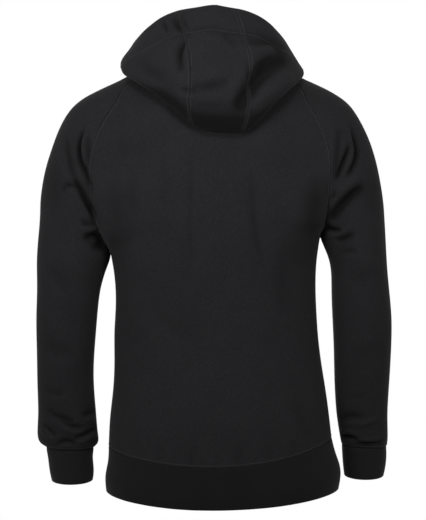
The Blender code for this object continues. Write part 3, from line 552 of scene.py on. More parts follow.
def skinNormals(points, quads):
    across = points[quads[:, 2]] - points[quads[:, 0]]
    along = points[quads[:, 3]] - points[quads[:, 1]]
    total = np.zeros_like(points)
    face = np.cross(across, along)
    for k in range(4):
        np.add.at(total, quads[:, k], face)
    return unit(total)


points, quads, owners, places, index = joinGrids()
normals = skinNormals(points, quads)
isHood = np.zeros(len(points), bool)
isHood[index["hood"][3:].ravel()] = True
hoodPlace = np.zeros(len(points))
hoodPlace[index["hood"]] = (np.arange(index["hood"].shape[0]) / cloth["hoodRows"])[:, None]
print("skin:", len(points), "points,", len(quads), "faces")

# Each fold is a soft trough with a raised lip beside it, laid along a path in x and z. All of
# it is in millimetres. Face 1 is seen from the back and -1 from the front, and a negative depth is a
# ridge. The lip stands on the side given by its sign, left of the path's way.
folds = {
    "sleeveLeft": [
        # face, path, depth, width, lip
        (1, [(205, -88), (213, -111), (213, -130), (208, -148), (200, -165), (191, -199)], 6.4, 3.8, -1.4),
        (1, [(200, -98), (198, -130), (199, -162)], 2.8, 5, 0.0),
        (1, [(234, -100), (232, -132), (225, -158), (218, -176)], 2.6, 5.5, 1.0),
        (1, [(224, -174), (214, -184), (204, -203), (194, -221), (186, -236)], 7.2, 4.6, 1.6),
        (1, [(242, -187), (230, -180), (214, -179)], 3.6, 3.8, 0.8),
        (1, [(211, -238), (198, -243), (184, -241)], 3.6, 4.6, 1.2),
        (1, [(208, -268), (194, -261), (183, -262), (174, -280)], 5.2, 6.5, -1.4),
        (1, [(194, -284), (184, -279), (174, -288)], 3.2, 8, 0.0),
        (1, [(262, -140), (256, -180), (252, -225)], 1.0, 12, 0.0),
        (1, [(266, -300), (246, -330), (222, -345)], 1.0, 14, 0.5),
        (1, [(274, -430), (250, -446), (222, -440)], 1.0, 13, 0.5),
        (1, [(276, -508), (258, -519), (236, -514)], 0.9, 6, 0.5),
        (1, [(272, -544), (256, -556), (240, -561), (224, -567)], 2.8, 6, 0.8),
        (1, [(248, -566), (228, -574), (210, -576)], 3.0, 4.6, 1.2),
        (1, [(278, -571), (266, -582), (256, -591)], 2.8, 4.6, 1.2),
        (1, [(228, -594), (208, -588), (190, -579)], 3.4, 4.6, 1.4),
        (1, [(258, -605), (238, -598), (220, -605)], 3.6, 4.8, 0.8),
        (1, [(214, -558), (202, -554), (188, -551)], 2.4, 5.5, 0.8),
        (-1, [(206, -150), (198, -190), (182, -250)], 5.0, 9, 1.5),
        (-1, [(236, -135), (228, -175), (208, -214)], 3.0, 11, 1.2),
        (-1, [(226, -230), (206, -250), (182, -262)], 4.0, 9, -1.4),
        (-1, [(262, -330), (236, -352), (206, -350)], 1.8, 12, 0.8),
        (-1, [(258, -372), (234, -386), (204, -378)], 1.6, 11, 0.6),
        (-1, [(276, -500), (248, -512), (214, -506)], 1.8, 9, 0.8),
        (-1, [(282, -540), (254, -548), (212, -538)], 2.2, 7, -1.0),
        (-1, [(284, -570), (250, -574), (208, -568)], 2.4, 6, 1.2),
        (-1, [(282, -594), (246, -598), (204, -592)], 2.4, 6, 1.0),
    ],
    "sleeveRight": [
        (1, [(-201, -86), (-198, -130), (-191, -178)], 2.4, 5.5, 0.9),
        (1, [(-220, -113), (-212, -134), (-204, -153), (-195, -175)], 6.2, 3.6, -1.3),
        (1, [(-220, -82), (-228, -110), (-230, -131), (-222, -153), (-211, -168)], 5.6, 4.4, 0.6),
        (1, [(-197, -190), (-193, -197), (-188, -207)], 3.0, 4.5, 0.8),
        (1, [(-246, -181), (-228, -190), (-210, -205), (-196, -222), (-185, -238)], 8.2, 7.2, 1.8),
        (1, [(-177, -248), (-191, -252), (-207, -254)], 4.0, 4.2, 1.2),
        (1, [(-195, -270), (-209, -265), (-227, -257)], 3.8, 5.5, -1.0),
        (1, [(-202, -289), (-216, -286), (-232, -288)], 1.4, 5, 0.5),
        (1, [(-262, -150), (-258, -190), (-254, -232)], 1.0, 12, 0.0),
        (1, [(-264, -312), (-240, -326), (-212, -318)], 1.0, 14, 0.5),
        (1, [(-274, -438), (-248, -450), (-222, -444)], 1.0, 13, 0.5),
        (1, [(-250, -516), (-236, -524), (-222, -520)], 0.7, 6, 0.3),
        (1, [(-208, -566), (-226, -557), (-246, -560)], 2.2, 6.5, 0.9),
        (1, [(-236, -570), (-254, -566), (-276, -556)], -1.8, 5, 0.0),
        (1, [(-206, -596), (-222, -592), (-238, -597)], 4.0, 4.4, -1.2),
        (1, [(-232, -602), (-254, -603), (-278, -599)], 4.2, 4.4, -1.2),
        (-1, [(-208, -146), (-200, -186), (-188, -232)], 4.8, 9, -1.5),
        (-1, [(-240, -140), (-230, -176), (-210, -210)], 2.8, 11, -1.2),
        (-1, [(-228, -224), (-208, -240), (-188, -248)], 3.8, 9, 1.4),
        (-1, [(-264, -326), (-238, -346), (-208, -342)], 1.8, 12, 0.8),
        (-1, [(-262, -368), (-238, -380), (-208, -372)], 1.6, 11, 0.6),
        (-1, [(-280, -506), (-252, -516), (-220, -508)], 1.8, 9, 0.8),
        (-1, [(-284, -540), (-256, -550), (-220, -540)], 2.2, 7, -1.0),
        (-1, [(-286, -570), (-256, -578), (-220, -570)], 2.4, 6, 1.2),
    ],
    "body": [
        (1, [(37, -126), (36, -180), (37, -240), (34, -312)], 1.1, 6.5, 0.4),
        (1, [(-58, -146), (-61, -196), (-64, -236), (-72, -282), (-82, -320)], 1.3, 6.5, -0.4),
        (1, [(129, -148), (128, -182), (125, -240)], 0.5, 7, 0.2),
        (1, [(76, -130), (78, -180), (74, -250)], 0.6, 7, 0.2),
        (1, [(158, -170), (154, -210), (150, -250), (142, -320)], 0.8, 20, 0.0),
        (1, [(-164, -160), (-164, -200), (-160, -240), (-146, -330)], 2.4, 18, 0.0),
        (1, [(-118, -250), (-112, -330), (-116, -400)], 1.0, 18, 0.4),
        (1, [(98, -360), (62, -404), (20, -418)], 0.6, 16, 0.3),
        (1, [(-130, -520), (-146, -560), (-156, -586)], 0.7, 10, 0.3),
        (1, [(118, -570), (122, -590), (124, -606)], 0.7, 5.5, 0.3),
        (1, [(84, -590), (86, -606), (85, -620)], 0.6, 5.5, 0.2),
        (1, [(30, -590), (34, -610), (32, -626)], 0.7, 5.5, 0.3),
        (1, [(-4, -604), (-4, -616), (-6, -628)], 0.5, 5.5, 0.2),
        (1, [(-44, -580), (-40, -606), (-44, -624)], 0.8, 6, 0.3),
        (1, [(-90, -596), (-88, -608), (-92, -620)], 0.6, 6, 0.2),
        (1, [(-126, -582), (-130, -598), (-134, -610)], 0.7, 6, 0.3),
        (1, [(52, -640), (50, -652), (52, -664)], 1.0, 6, 0.3),
        (1, [(-14, -636), (-14, -650), (-16, -662)], 1.0, 6, 0.3),
        (-1, [(160, -256), (142, -292), (112, -330)], 2.4, 13, -0.9),
        (-1, [(-162, -240), (-144, -280), (-112, -324)], 2.4, 13, 0.9),
        (-1, [(122, -130), (128, -180), (120, -238)], 1.2, 14, 0.4),
        (-1, [(-120, -126), (-127, -174), (-118, -230)], 1.2, 14, -0.4),
        (-1, [(96, -420), (70, -470), (62, -530)], 1.4, 16, 0.5),
        (-1, [(-90, -400), (-76, -460), (-80, -520)], 1.4, 16, -0.5),
        (-1, [(130, -545), (138, -575), (142, -598)], 1.1, 10, 0.4),
        (-1, [(-134, -540), (-146, -570), (-150, -590)], 1.1, 10, -0.4),
    ],
    "hood": [
        (1, [(-124, 22), (-104, 12), (-85, 1), (-68, -15), (-57, -33), (-45, -52), (-36, -70)], 10.5, 11, 2),
        (1, [(-118, 34), (-96, 26), (-78, 10), (-68, -6)], 4.5, 11, 0.0),
        (1, [(-132, -12), (-104, -27), (-76, -49), (-60, -67)], -3.0, 12, 0.0),
        (1, [(-40, 46), (-66, 41), (-88, 43), (-114, 32)], 3.4, 7, 1.2),
        (1, [(-52, 15), (-76, 21), (-100, 26)], -2.4, 6, 0.0),
        (1, [(-54, 14), (-54, -2), (-54, -20)], 2.6, 5, 0.0),
        (1, [(40, 51), (45, 40), (50, 28), (51, 10), (48, -10)], 4.2, 5.6, -1.0),
        (1, [(34, -28), (8, -30), (-26, -20)], 2.5, 9, -0.7),
        (1, [(50, -32), (40, -36), (24, -38)], 2.6, 5.5, 1.0),
        (1, [(34, -55), (0, -59), (-36, -54)], 1.1, 8, -0.4),
        (1, [(78, 76), (75, 67), (70, 58)], 3.4, 4.6, 1.2),
        (1, [(64, 84), (60, 73), (53, 63), (42, 56)], 4.4, 4.6, 1.4),
        (1, [(54, 86), (47, 74), (39, 63)], 3.6, 4.6, -1.2),
        (1, [(-14, 54), (-24, 44), (-40, 34)], 2.2, 6, 0.8),
        (1, [(114, 14), (96, -4), (72, -20)], 1.8, 12, 1.0),
        (
            1,
            [(125, 24), (82, 46), (45, 51), (20, 61), (-17, 56), (-60, 54), (-88, 50), (-118, 30)],
            1.6,
            5,
            0.6,
        ),
    ],
}

foldForm = {
    "depthTimes": 1.7,  # turns all the folds up or down together
    "lipTimes": 2.1,
    "roundness": 1.5,  # 2 is a rounded trough, and less is a sharper one
    "lipPlace": 1.7,  # from the middle of the trough, in widths
    "lipWidth": 0.9,
    "reach": 4,  # widths beyond which nothing moves
    "steps": 24,  # along the path
    "endDepth": (0.06, 0.8),  # how far from nothing its ends start, and how soon it is deep
    "endEase": (8, -0.4),  # how short its ends are, and how blunt
}

# Where each kind of fold fades out.
foldLimits = {
    "hood": (3.4, 4.2),  # guides from the neck: none at the first, full at the second
    "bodyX": 0.30,
    "bodyFade": 0.05,
    "sleeveX": (0.150, 0.178),
    "facing": (0.05, 0.55),  # the cloth's turn to the back or front
    "zipX": (0.022, 0.045),  # none at the zip, so that the zip still meets the cloth
}

# The cloth's own unevenness, as bumps of a width and a height in millimetres. A fall under 1
# draws them out downwards, as cloth hangs.
drift = {
    "widths": (60.0, 24.0),
    "heights": (0.8, 0.3),
    "fall": 0.4,
    "hoodTimes": 1.6,
    "start": (3.1, 7.7, 1.3),  # another one gives other bumps
}


def foldDepth(spots, facing, fold):
    # how far one fold presses each spot in, in metres
    face, path, depth, width, lip = fold
    form = foldForm
    depth, width, lip = form["depthTimes"] * depth / 1000, width / 1000, form["lipTimes"] * lip / 1000
    near = facing(face) > 0
    path = np.array(path, float) / 1000
    low, high = path.min(axis=0) - form["reach"] * width, path.max(axis=0) + form["reach"] * width
    near &= ((spots > low) & (spots < high)).all(axis=1)
    total = np.zeros(len(spots))
    if not near.any():
        return total
    line = smoothCurve(np.arange(len(path)), path)(np.linspace(0, len(path) - 1, form["steps"] + 1))
    here = spots[near]
    steps = np.diff(line, axis=0)
    offset = here[:, None, :] - line[None, :-1, :]
    along = np.clip((offset * steps).sum(axis=2) / (steps**2).sum(axis=1), 0, 1)
    apart = offset - along[:, :, None] * steps
    gap = np.linalg.norm(apart, axis=2)
    best = gap.argmin(axis=1)
    rows = np.arange(len(here))
    gap, share = gap[rows, best], (best + along[rows, best]) / len(steps)
    cross = steps[best, 0] * apart[rows, best, 1] - steps[best, 1] * apart[rows, best, 0]
    across = np.sign(cross) * gap / width
    (least, growth), (short, blunt) = form["endDepth"], form["endEase"]
    taper = np.sin(math.pi * (least + (1 - 2 * least) * share)) ** growth
    taper *= ease(np.minimum(share, 1 - share) * short, blunt, 1)
    beyond = np.sign(lip) * across - form["lipPlace"]
    shape = depth * np.exp(-(abs(across) ** form["roundness"]))
    shape -= abs(lip) * np.exp(-((beyond / form["lipWidth"]) ** 2))
    total[near] = shape * taper * facing(face)[near]
    return total


def pressFolds(points, normals):
    spots = points[:, [0, 2]]
    facing = lambda face: ease(face * normals[:, 1], *foldLimits["facing"])
    pressed = np.zeros(len(points))
    for name, rows in folds.items():
        if name == "hood":
            mask = isHood * ease(hoodPlace, *foldLimits["hood"])
        elif name == "body":
            mask = ~isHood * ease(foldLimits["bodyX"] - abs(points[:, 0]), 0.0, foldLimits["bodyFade"])
        else:
            side = left if name == "sleeveLeft" else right
            mask = ~isHood * ease(side * points[:, 0], *foldLimits["sleeveX"])
        for fold in rows:
            pressed += mask * foldDepth(spots, facing, fold)
    start, times = Vector(drift["start"]), np.where(isHood, drift["hoodTimes"], 1.0)
    for width, height in zip(drift["widths"], drift["heights"]):
        drawn = [Vector((x, y, z * drift["fall"])) * (1000 / width) + start for x, y, z in points]
        pressed += np.array([noise.noise(spot) for spot in drawn]) * height / 1000 * times
    return pressed


clearOfZip = np.clip(ease(abs(points[:, 0]), *foldLimits["zipX"]) + (points[:, 1] > 0), 0, 1)
pressed = pressFolds(points, normals) * clearOfZip
points = points - normals * pressed[:, None]
normals = skinNormals(points, quads)
# painted shade along the underside of the hood's fold, where it turns under onto the back
rollFull, rollGone = hood["rollGuides"]
roll = isHood * ease(-hoodPlace, -rollGone, -rollFull) * ease(points[:, 1], *hood["rollBack"])
rollShade = roll * hood["rollShadeMm"]
print("folds pressed in, deepest %.1f mm" % (1000 * pressed.max()))


# The skin is cut into its sewn pieces, each a wall of cloth with turned edges.
edgePieces = {}
for quad, owner in zip(quads.tolist(), owners.tolist()):
    for k in range(4):
        a, b = quad[k], quad[(k + 1) % 4]
        edgePieces.setdefault((min(a, b), max(a, b)), []).append(owner)


def boundaryOf(faces):
    # directed edges that only one of the faces has, with that face's number and the corner it starts from
    a, b = faces.ravel(), np.roll(faces, -1, axis=1).ravel()
    keys = np.minimum(a, b).astype(np.int64) * (len(points) + 1) + np.maximum(a, b)
    _, back, counts = np.unique(keys, return_inverse=True, return_counts=True)
    alone = (counts[back.reshape(-1)] == 1) & (a != b)
    face, corner = np.divmod(np.arange(faces.size), 4)
    return a[alone], b[alone], face[alone], corner[alone]


def edgePulls(a, b, inward, sewn):
    # the way each edge point is drawn in for a sewn edge and for an open one, and how much of it is sewn
    pulls = {}
    for k in range(len(a)):
        for v in (a[k], b[k]):
            pulls.setdefault(int(v), []).append((inward[k], sewn[k]))
    edgePoints = sorted(pulls)
    sewnPull, openPull, seamShare = [], [], []
    for v in edgePoints:
        isSewn = np.array([s for _, s in pulls[v]], float)
        # rcond keeps a sharp corner from being drawn in too far
        solved = np.linalg.pinv(np.array([way for way, _ in pulls[v]]), rcond=0.2)
        sewnPull.append(solved @ isSewn)
        openPull.append(solved @ (1 - isSewn))
        seamShare.append([isSewn.mean()])
    return np.array(edgePoints), np.array(sewnPull), np.array(openPull), np.array(seamShare)


def addObject(name, verts, faces, materials=()):
    mesh = bpy.data.meshes.new(name)
    mesh.from_pydata([tuple(v) for v in verts], [], faces)
    for material in materials:
        mesh.materials.append(material)
    mesh.shade_smooth()
    made = bpy.data.objects.new(name, mesh)
    bpy.context.scene.collection.objects.link(made)
    return made


def clothPiece(name, thickness, materials):
    # the outer face, the turned edge in four strips, and the inner face
    mine = owners == name
    faces, uv = quads[mine], places[mine]
    a, b, face, corner = boundaryOf(faces)
    middles = points[faces].mean(axis=1)[face]
    along = unit(points[b] - points[a])
    inward = middles - points[a]
    inward = unit(inward - (inward * along).sum(axis=1)[:, None] * along)
    sewn = [len(edgePieces[(min(p, q), max(p, q))]) > 1 for p, q in zip(a.tolist(), b.tolist())]
    edgePoints, sewnPull, openPull, seamShare = edgePulls(a, b, inward, sewn)
    rank = {int(v): i for i, v in enumerate(edgePoints)}

    used = np.unique(faces)
    local = np.full(len(points), -1)
    local[used] = np.arange(len(used))
    edge = local[edgePoints]
    outer = points[used].copy()
    inner = points[used] - normals[used] * thickness
    down = -normals[edgePoints]

    rings = []
    for (sewnIn, sewnDeep), (openIn, openDeep) in zip(cloth["seamRings"], cloth["hemRings"]):
        depth = sewnDeep * seamShare + openDeep * (1 - seamShare)
        rings.append(points[edgePoints] + sewnPull * sewnIn + openPull * openIn + down * depth)
    outer[edge] = rings[0]
    (outIn, _), (nextIn, _), _ = cloth["hemRings"]
    inner[edge] = points[edgePoints] + openPull * outIn + down * thickness
    lowRing = points[edgePoints] + openPull * nextIn + down * (thickness - cloth["innerRound"])

    coords = np.concatenate([outer, rings[1], rings[2], lowRing, inner])
    count, edges = len(used), len(edgePoints)
    starts = [None, count, count + edges, count + 2 * edges, count + 3 * edges]
    made, madeUv, slots = [local[faces]], [uv], [np.zeros(len(faces), int)]
    made.append(local[faces][:, ::-1] + starts[4])
    madeUv.append(uv[:, ::-1])
    slots.append(np.ones(len(faces), int))
    rankA, rankB = np.array([rank[int(v)] for v in a]), np.array([rank[int(v)] for v in b])
    levels = [(local[a], local[b])] + [(rankA + starts[k], rankB + starts[k]) for k in (1, 2, 3)]
    levels.append((local[a] + starts[4], local[b] + starts[4]))
    uvA, uvB = uv[face, corner], uv[face, (corner + 1) % 4]
    for (topA, topB), (lowA, lowB) in zip(levels, levels[1:]):
        made.append(np.stack([topB, topA, lowA, lowB], axis=1))
        madeUv.append(np.stack([uvB, uvA, uvA, uvB], axis=1))
        slots.append(np.zeros(len(a), int))

    piece = addObject(name, coords.tolist(), np.concatenate(made).tolist(), materials)
    mesh = piece.data
    mesh.uv_layers.new(name="cloth").data.foreach_set("uv", np.concatenate(madeUv).reshape(-1))
    mesh.polygons.foreach_set("material_index", np.concatenate(slots))
    # painted shade: how deep each point lies in a fold, with the painted shade under the hood's roll added;
    # and how near a worn edge, for the colour
    worn = np.zeros(len(coords))
    worn[edge] = 1
    worn[starts[1] : starts[4]] = 1
    paintedShade = np.zeros(len(coords))
    paintedShade[:count] = pressed[used] * 1000 + rollShade[used]
    for key, values in (("worn", worn), ("paintedShade", paintedShade)):
        mesh.attributes.new(key, "FLOAT", "POINT").data.foreach_set("value", values)
    return piece


def hexColour(code):
    # an sRGB hex value as the linear colour that Blender works in
    parts = [int(code[i : i + 2], 16) / 255 for i in (1, 3, 5)]
    return tuple(c / 12.92 if c <= 0.04045 else ((c + 0.055) / 1.055) ** 2.4 for c in parts) + (1.0,)


def addNode(owner, kind, inputs=(), **settings):
    # one node: its settings, and for each input a value, a hex colour, or the node or output that feeds it
    node = owner.node_tree.nodes.new("ShaderNode" + kind)
    for key, value in settings.items():
        setattr(node, key, value)
    named = inputs if isinstance(inputs, dict) else dict(enumerate(inputs))
    for key, value in named.items():
        if isinstance(value, bpy.types.Node):
            value = value.outputs[0]
        if isinstance(value, bpy.types.NodeSocket):
            owner.node_tree.links.new(value, node.inputs[key])
        else:
            node.inputs[key].default_value = hexColour(value) if isinstance(value, str) else value
    return node


def newMaterial(name):
    # an empty material, and the places its patterns are laid by: flat on the cloth, and through the object
    material = bpy.data.materials.new(name)
    material.use_nodes = True
    material.node_tree.nodes.clear()
    coords = addNode(material, "TexCoord")
    return material, coords.outputs["UV"], coords.outputs["Object"]


def stripes(material, place, pitch):
    # a rounded wave across the place given, from 0 to 1, one for each pitch
    turns = addNode(material, "Math", (place, 2 * math.pi / pitch), operation="MULTIPLY")
    wave = addNode(material, "Math", (turns,), operation="SINE")
    return addNode(material, "Math", (wave, 0.5, 0.5), operation="MULTIPLY_ADD")


def finishMaterial(material, look, layers=(), height=None, rough=None):
    # the base colour with others laid over it, each by its own share, then the relief and the shader
    colour = look["base"]
    for share, name in layers:
        mixed = addNode(material, "Mix", {0: share, 6: colour, 7: look[name]}, data_type="RGBA")
        colour = mixed.outputs[2]
    inputs = {"Base Color": colour, **look["shader"]}
    if rough is not None:
        inputs["Roughness"] = rough
    if height is not None:
        relief = {"Height": height, "Distance": look["reliefMm"] / 1000, "Strength": look["reliefStrength"]}
        inputs["Normal"] = addNode(material, "Bump", relief)
    shader = addNode(material, "BsdfPrincipled", inputs)
    addNode(material, "OutputMaterial", {"Surface": shader})
    return material


# Fibre ends stand up from cotton cloth, so it scarcely shines and has a pale, soft rim.
cottonPile = {"IOR": 1.5, "Specular IOR Level": 0.1, "Sheen Tint": "#c8c8cc"}

fleeceLook = {
    "base": "#1f1f21",
    "light": "#262628",  # where the nap lies flat
    "paintedShade": "#0f0f10",  # painted shade in the bottom of a fold
    "paintedShadePerMm": 0.16,  # how much of that painted shade each mm of a fold's depth brings
    "worn": "#3a3a3b",  # rubbed seams and edges, and the ends of the nap
    "lintShare": 0.55,
    "wornShare": 0.2,
    "waleMm": 1.1,  # 23 columns of loops to the inch
    "courseMm": 0.9,
    "napMm": 2.4,  # fuzz of the surface; single fibres are far finer, and it is drawn this coarse to show
    "patchMm": 45.0,  # slow change of tone
    "napContrast": (1.8, -0.75),  # the pattern times the first plus the second is a share from 0 to 1
    "patchContrast": (1.6, -0.45),
    "roughness": (0.16, 0.84),  # how much the patches add, and the least there is
    "napRelief": 1.6,  # against the knit's own loops
    "loopRelief": 0.35,
    "reliefMm": 0.22,
    "reliefStrength": 0.8,
    "shader": {**cottonPile, "Sheen Weight": 0.05, "Sheen Roughness": 0.5},
}


def knitFace():
    # Cotton fleece, knitted and dyed black: a matt face with a soft nap that catches light at the rim.
    look = fleeceLook
    material, flat, solid = newMaterial("cottonFleeceKnitted")
    place = addNode(material, "SeparateXYZ", (flat,))
    wales = stripes(material, place.outputs[0], look["waleMm"] / 1000)
    courses = stripes(material, place.outputs[1], look["courseMm"] / 1000)
    nap = addNode(
        material,
        "TexNoise",
        {"Vector": solid, "Scale": 1000 / look["napMm"], "Detail": 5.0, "Roughness": 0.62},
    )
    patches = addNode(
        material,
        "TexNoise",
        {"Vector": solid, "Scale": 1000 / look["patchMm"], "Detail": 3.0, "Roughness": 0.55},
    )
    tone = addNode(
        material, "Math", (patches, *look["patchContrast"]), operation="MULTIPLY_ADD", use_clamp=True
    )
    fuzz = addNode(material, "Math", (nap, *look["napContrast"]), operation="MULTIPLY_ADD", use_clamp=True)
    lint = addNode(material, "Math", (fuzz, look["lintShare"]), operation="MULTIPLY")
    # painted shade: the deeper the cloth lies in a fold, the darker its colour
    paintedShade = addNode(material, "Attribute", attribute_name="paintedShade").outputs["Fac"]
    deep = addNode(material, "Math", (paintedShade, look["paintedShadePerMm"]), operation="MULTIPLY", use_clamp=True)
    worn = addNode(material, "Attribute", attribute_name="worn").outputs["Fac"]
    rubbed = addNode(material, "Math", (nap, look["wornShare"]), operation="MULTIPLY")
    rubbed = addNode(material, "Math", (worn, rubbed), operation="MULTIPLY")
    layers = ((tone, "light"), (lint, "worn"), (deep, "paintedShade"), (rubbed, "worn"))
    loops = addNode(material, "Math", (wales, courses), operation="MULTIPLY")
    loops = addNode(material, "Math", (loops, look["loopRelief"]), operation="MULTIPLY")
    height = addNode(material, "Math", (nap, look["napRelief"], loops), operation="MULTIPLY_ADD")
    rough = addNode(material, "Math", (patches, *look["roughness"]), operation="MULTIPLY_ADD")
    return finishMaterial(material, look, layers, height, rough)


insideLook = {
    "base": "#1b1b1c",
    "light": "#2e2e30",
    "tuftMm": 5.0,
    "tuftContrast": (2.0, -0.6),
    "reliefMm": 0.9,
    "reliefStrength": 0.8,
    "shader": {**cottonPile, "Roughness": 0.97, "Sheen Weight": 0.35, "Sheen Roughness": 0.6},
}


def brushedBack():
    # The fleece's brushed inside: loops raised into a deep, cloudy pile.
    look = insideLook
    material, _, solid = newMaterial("cottonFleeceBrushed")
    tufts = addNode(
        material,
        "TexNoise",
        {"Vector": solid, "Scale": 1000 / look["tuftMm"], "Detail": 6.0, "Roughness": 0.7},
    )
    tone = addNode(material, "Math", (tufts, *look["tuftContrast"]), operation="MULTIPLY_ADD", use_clamp=True)
    return finishMaterial(material, look, [(tone, "light")], tufts)


ribLook = {
    "Band": {"base": "#151515", "crown": "#161616"},  # a rib's groove, painted darker as shade, and its crown; the band is painted darker than the cuffs as shade
    "Cuff": {"base": "#1d1d1d", "crown": "#1f1f1f"},  # the same rib as the band, painted a little paler than it as light
    "worn": "#222223",
    "wornShare": 0.4,
    "ribMm": 2.4,  # one rib and its groove; a 1x1 rib is finer, and is drawn this coarse to show
    "napMm": 1.6,
    "patchesPerMetre": 22.0,  # slow change of tone
    "patchContrast": (1.2, -0.4),
    "roughness": (0.14, 0.82),
    "napRelief": 0.35,  # against the ribs
    "reliefMm": 0.15,
    "reliefStrength": 0.7,
    "shader": {**cottonPile, "Sheen Weight": 0.08, "Sheen Roughness": 0.5},
}


def knitRib(part):
    # Cotton rib with elastane, knitted and dyed black: upright ribs, tighter than the fleece, and painted
    # darker than it as shade.
    look = {**ribLook, **ribLook[part]}
    material, flat, solid = newMaterial("cottonRibKnit" + part)
    place = addNode(material, "SeparateXYZ", (flat,))
    # the ribs stripe the colour as well as the relief: painted shade in each groove
    ribs = stripes(material, place.outputs[0], look["ribMm"] / 1000)
    nap = addNode(
        material,
        "TexNoise",
        {"Vector": solid, "Scale": 1000 / look["napMm"], "Detail": 4.0, "Roughness": 0.6},
    )
    patches = addNode(
        material,
        "TexNoise",
        {"Vector": solid, "Scale": look["patchesPerMetre"], "Detail": 3.0},
    )
    faded = addNode(
        material, "Math", (patches, *look["patchContrast"]), operation="MULTIPLY_ADD", use_clamp=True
    )
    faded = addNode(material, "Math", (faded, look["wornShare"]), operation="MULTIPLY")
    height = addNode(material, "Math", (nap, look["napRelief"], ribs), operation="MULTIPLY_ADD")
    rough = addNode(material, "Math", (nap, *look["roughness"]), operation="MULTIPLY_ADD")
    return finishMaterial(material, look, [(ribs, "crown"), (faded, "worn")], height, rough)


threadLook = {
    "base": "#242426",
    "light": "#2f2f31",
    "twistMm": 0.9,  # a real twist is a third of this, and is drawn this coarse to show
    "reliefMm": 0.1,
    "reliefStrength": 1.0,
    "shader": {"Roughness": 0.6, "IOR": 1.5, "Specular IOR Level": 0.4},
}


def spunThread():
    # Spun polyester sewing thread: a fine twist with a slight gloss.
    look = threadLook
    material, _, solid = newMaterial("polyesterThreadSpun")
    twist = addNode(material, "TexNoise", {"Vector": solid, "Scale": 1000 / look["twistMm"], "Detail": 2.0})
    return finishMaterial(material, look, [(twist, "light")], twist)


tapeLook = {
    "base": "#111112",
    "warp": "#1a1a1b",
    "threadMm": 0.8,
    "reliefMm": 0.1,
    "reliefStrength": 1.0,
    "shader": {"Roughness": 0.75, "IOR": 1.5, "Specular IOR Level": 0.35},
}


def wovenTape():
    # Woven polyester zip tape: a flat herringbone that shows as fine slanted lines.
    look = tapeLook
    material, _, solid = newMaterial("polyesterTapeWoven")
    place = addNode(material, "SeparateXYZ", (solid,))
    out = addNode(material, "Math", (place.outputs[0],), operation="ABSOLUTE")
    slant = addNode(material, "Math", (out, place.outputs[2]), operation="ADD")
    lines = stripes(material, slant, look["threadMm"] / 1000)
    return finishMaterial(material, look, [(lines, "warp")], lines)


zipLook = {
    "base": "#39393c",
    "worn": "#626266",
    "wornShare": 0.6,
    "rimContrast": (9.0, -4.6),
    "roughness": (0.2, 0.24),
    "grainMm": 0.7,
    "shader": {"Metallic": 1.0},
}


def blackNickel():
    # Zinc zip parts, cast and plated in black nickel: dark and softly reflecting, rubbed paler at the rims.
    look = zipLook
    material, _, solid = newMaterial("zincBlackNickelPlated")
    grain = addNode(material, "TexNoise", {"Vector": solid, "Scale": 1000 / look["grainMm"], "Detail": 4.0})
    pointiness = addNode(material, "NewGeometry").outputs["Pointiness"]
    rim = addNode(
        material, "Math", (pointiness, *look["rimContrast"]), operation="MULTIPLY_ADD", use_clamp=True
    )
    rim = addNode(material, "Math", (rim, look["wornShare"]), operation="MULTIPLY")
    rough = addNode(material, "Math", (grain, *look["roughness"]), operation="MULTIPLY_ADD")
    return finishMaterial(material, look, [(rim, "worn")], rough=rough)


fleece, inside = knitFace(), brushedBack()
ribs = {part: knitRib(part) for part in ("Band", "Cuff")}
thread, tape, metal = spunThread(), wovenTape(), blackNickel()
print("materials made")


# The cloth pieces. cut is the flat width and length of each pattern piece, all round on a tube.
clothPieces = {
    "back": dict(node="back", cut=(0.52, 0.66), area=0.27, on=["sleeve_left", "sleeve_right"]),
    "frontLeft": dict(node="front_left", cut=(0.27, 0.60), area=0.127, on=["sleeve_left"]),
    "frontRight": dict(node="front_right", cut=(0.27, 0.60), area=0.127, on=["sleeve_right"]),
    "sleeveLeft": dict(node="sleeve_left", cut=(0.46, 0.68), area=0.185, on=["back"]),
    "sleeveRight": dict(node="sleeve_right", cut=(0.46, 0.68), area=0.185, on=["back"]),
    "hoodLeft": dict(node="hood_left", cut=(0.32, 0.30), area=0.055, on=["back"]),
    "hoodRight": dict(node="hood_right", cut=(0.32, 0.30), area=0.055, on=["back"]),
    "hoodCentre": dict(node="hood_centre", cut=(0.10, 0.44), area=0.036, on=["back"]),
    "cuffLeft": dict(node="cuff_left", cut=(0.225, 0.062), area=0.0135, on=["sleeve_left"]),
    "cuffRight": dict(node="cuff_right", cut=(0.225, 0.062), area=0.0135, on=["sleeve_right"]),
    "hemBand": dict(node="hem_band", cut=(0.98, 0.076), area=0.074, on=["back"]),
}
for name, facts in clothPieces.items():
    ribbed = name.startswith("cuff") or name == "hemBand"
    thickness = cloth["ribThickness"] if ribbed else cloth["fleeceThickness"]
    rib = ribs["Band" if name == "hemBand" else "Cuff"]
    piece = clothPiece(name, thickness, (rib, rib) if ribbed else (fleece, inside))
    area = sum(p.area for p in piece.data.polygons) / 2
    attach(piece, "garment")
    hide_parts(facts["node"])
    print("  %-11s %6d faces, %.4f m2" % (name, len(piece.data.polygons), area))
print("cloth pieces sewn up")


# Stitches are short runs of thread that lie along the seams.
stitch = {
    "length": 0.0026,
    "gap": 0.0009,
    "radius": 0.00034,
    "sides": 5,
    "lookAhead": 0.0004,  # to find the way the seam runs
    # place along it, how far it stands out and how thick it is there, both in radii
    "rings": ((0.0, -0.8, 0.55), (0.22, 0.45, 1.0), (0.78, 0.45, 1.0), (1.0, -0.8, 0.55)),
    # how far from its seam or edge each kind runs
    "inset": {"raglan": 0.0024, "hood": 0.0028, "hem": 0.0035, "zip": 0.0065},
}


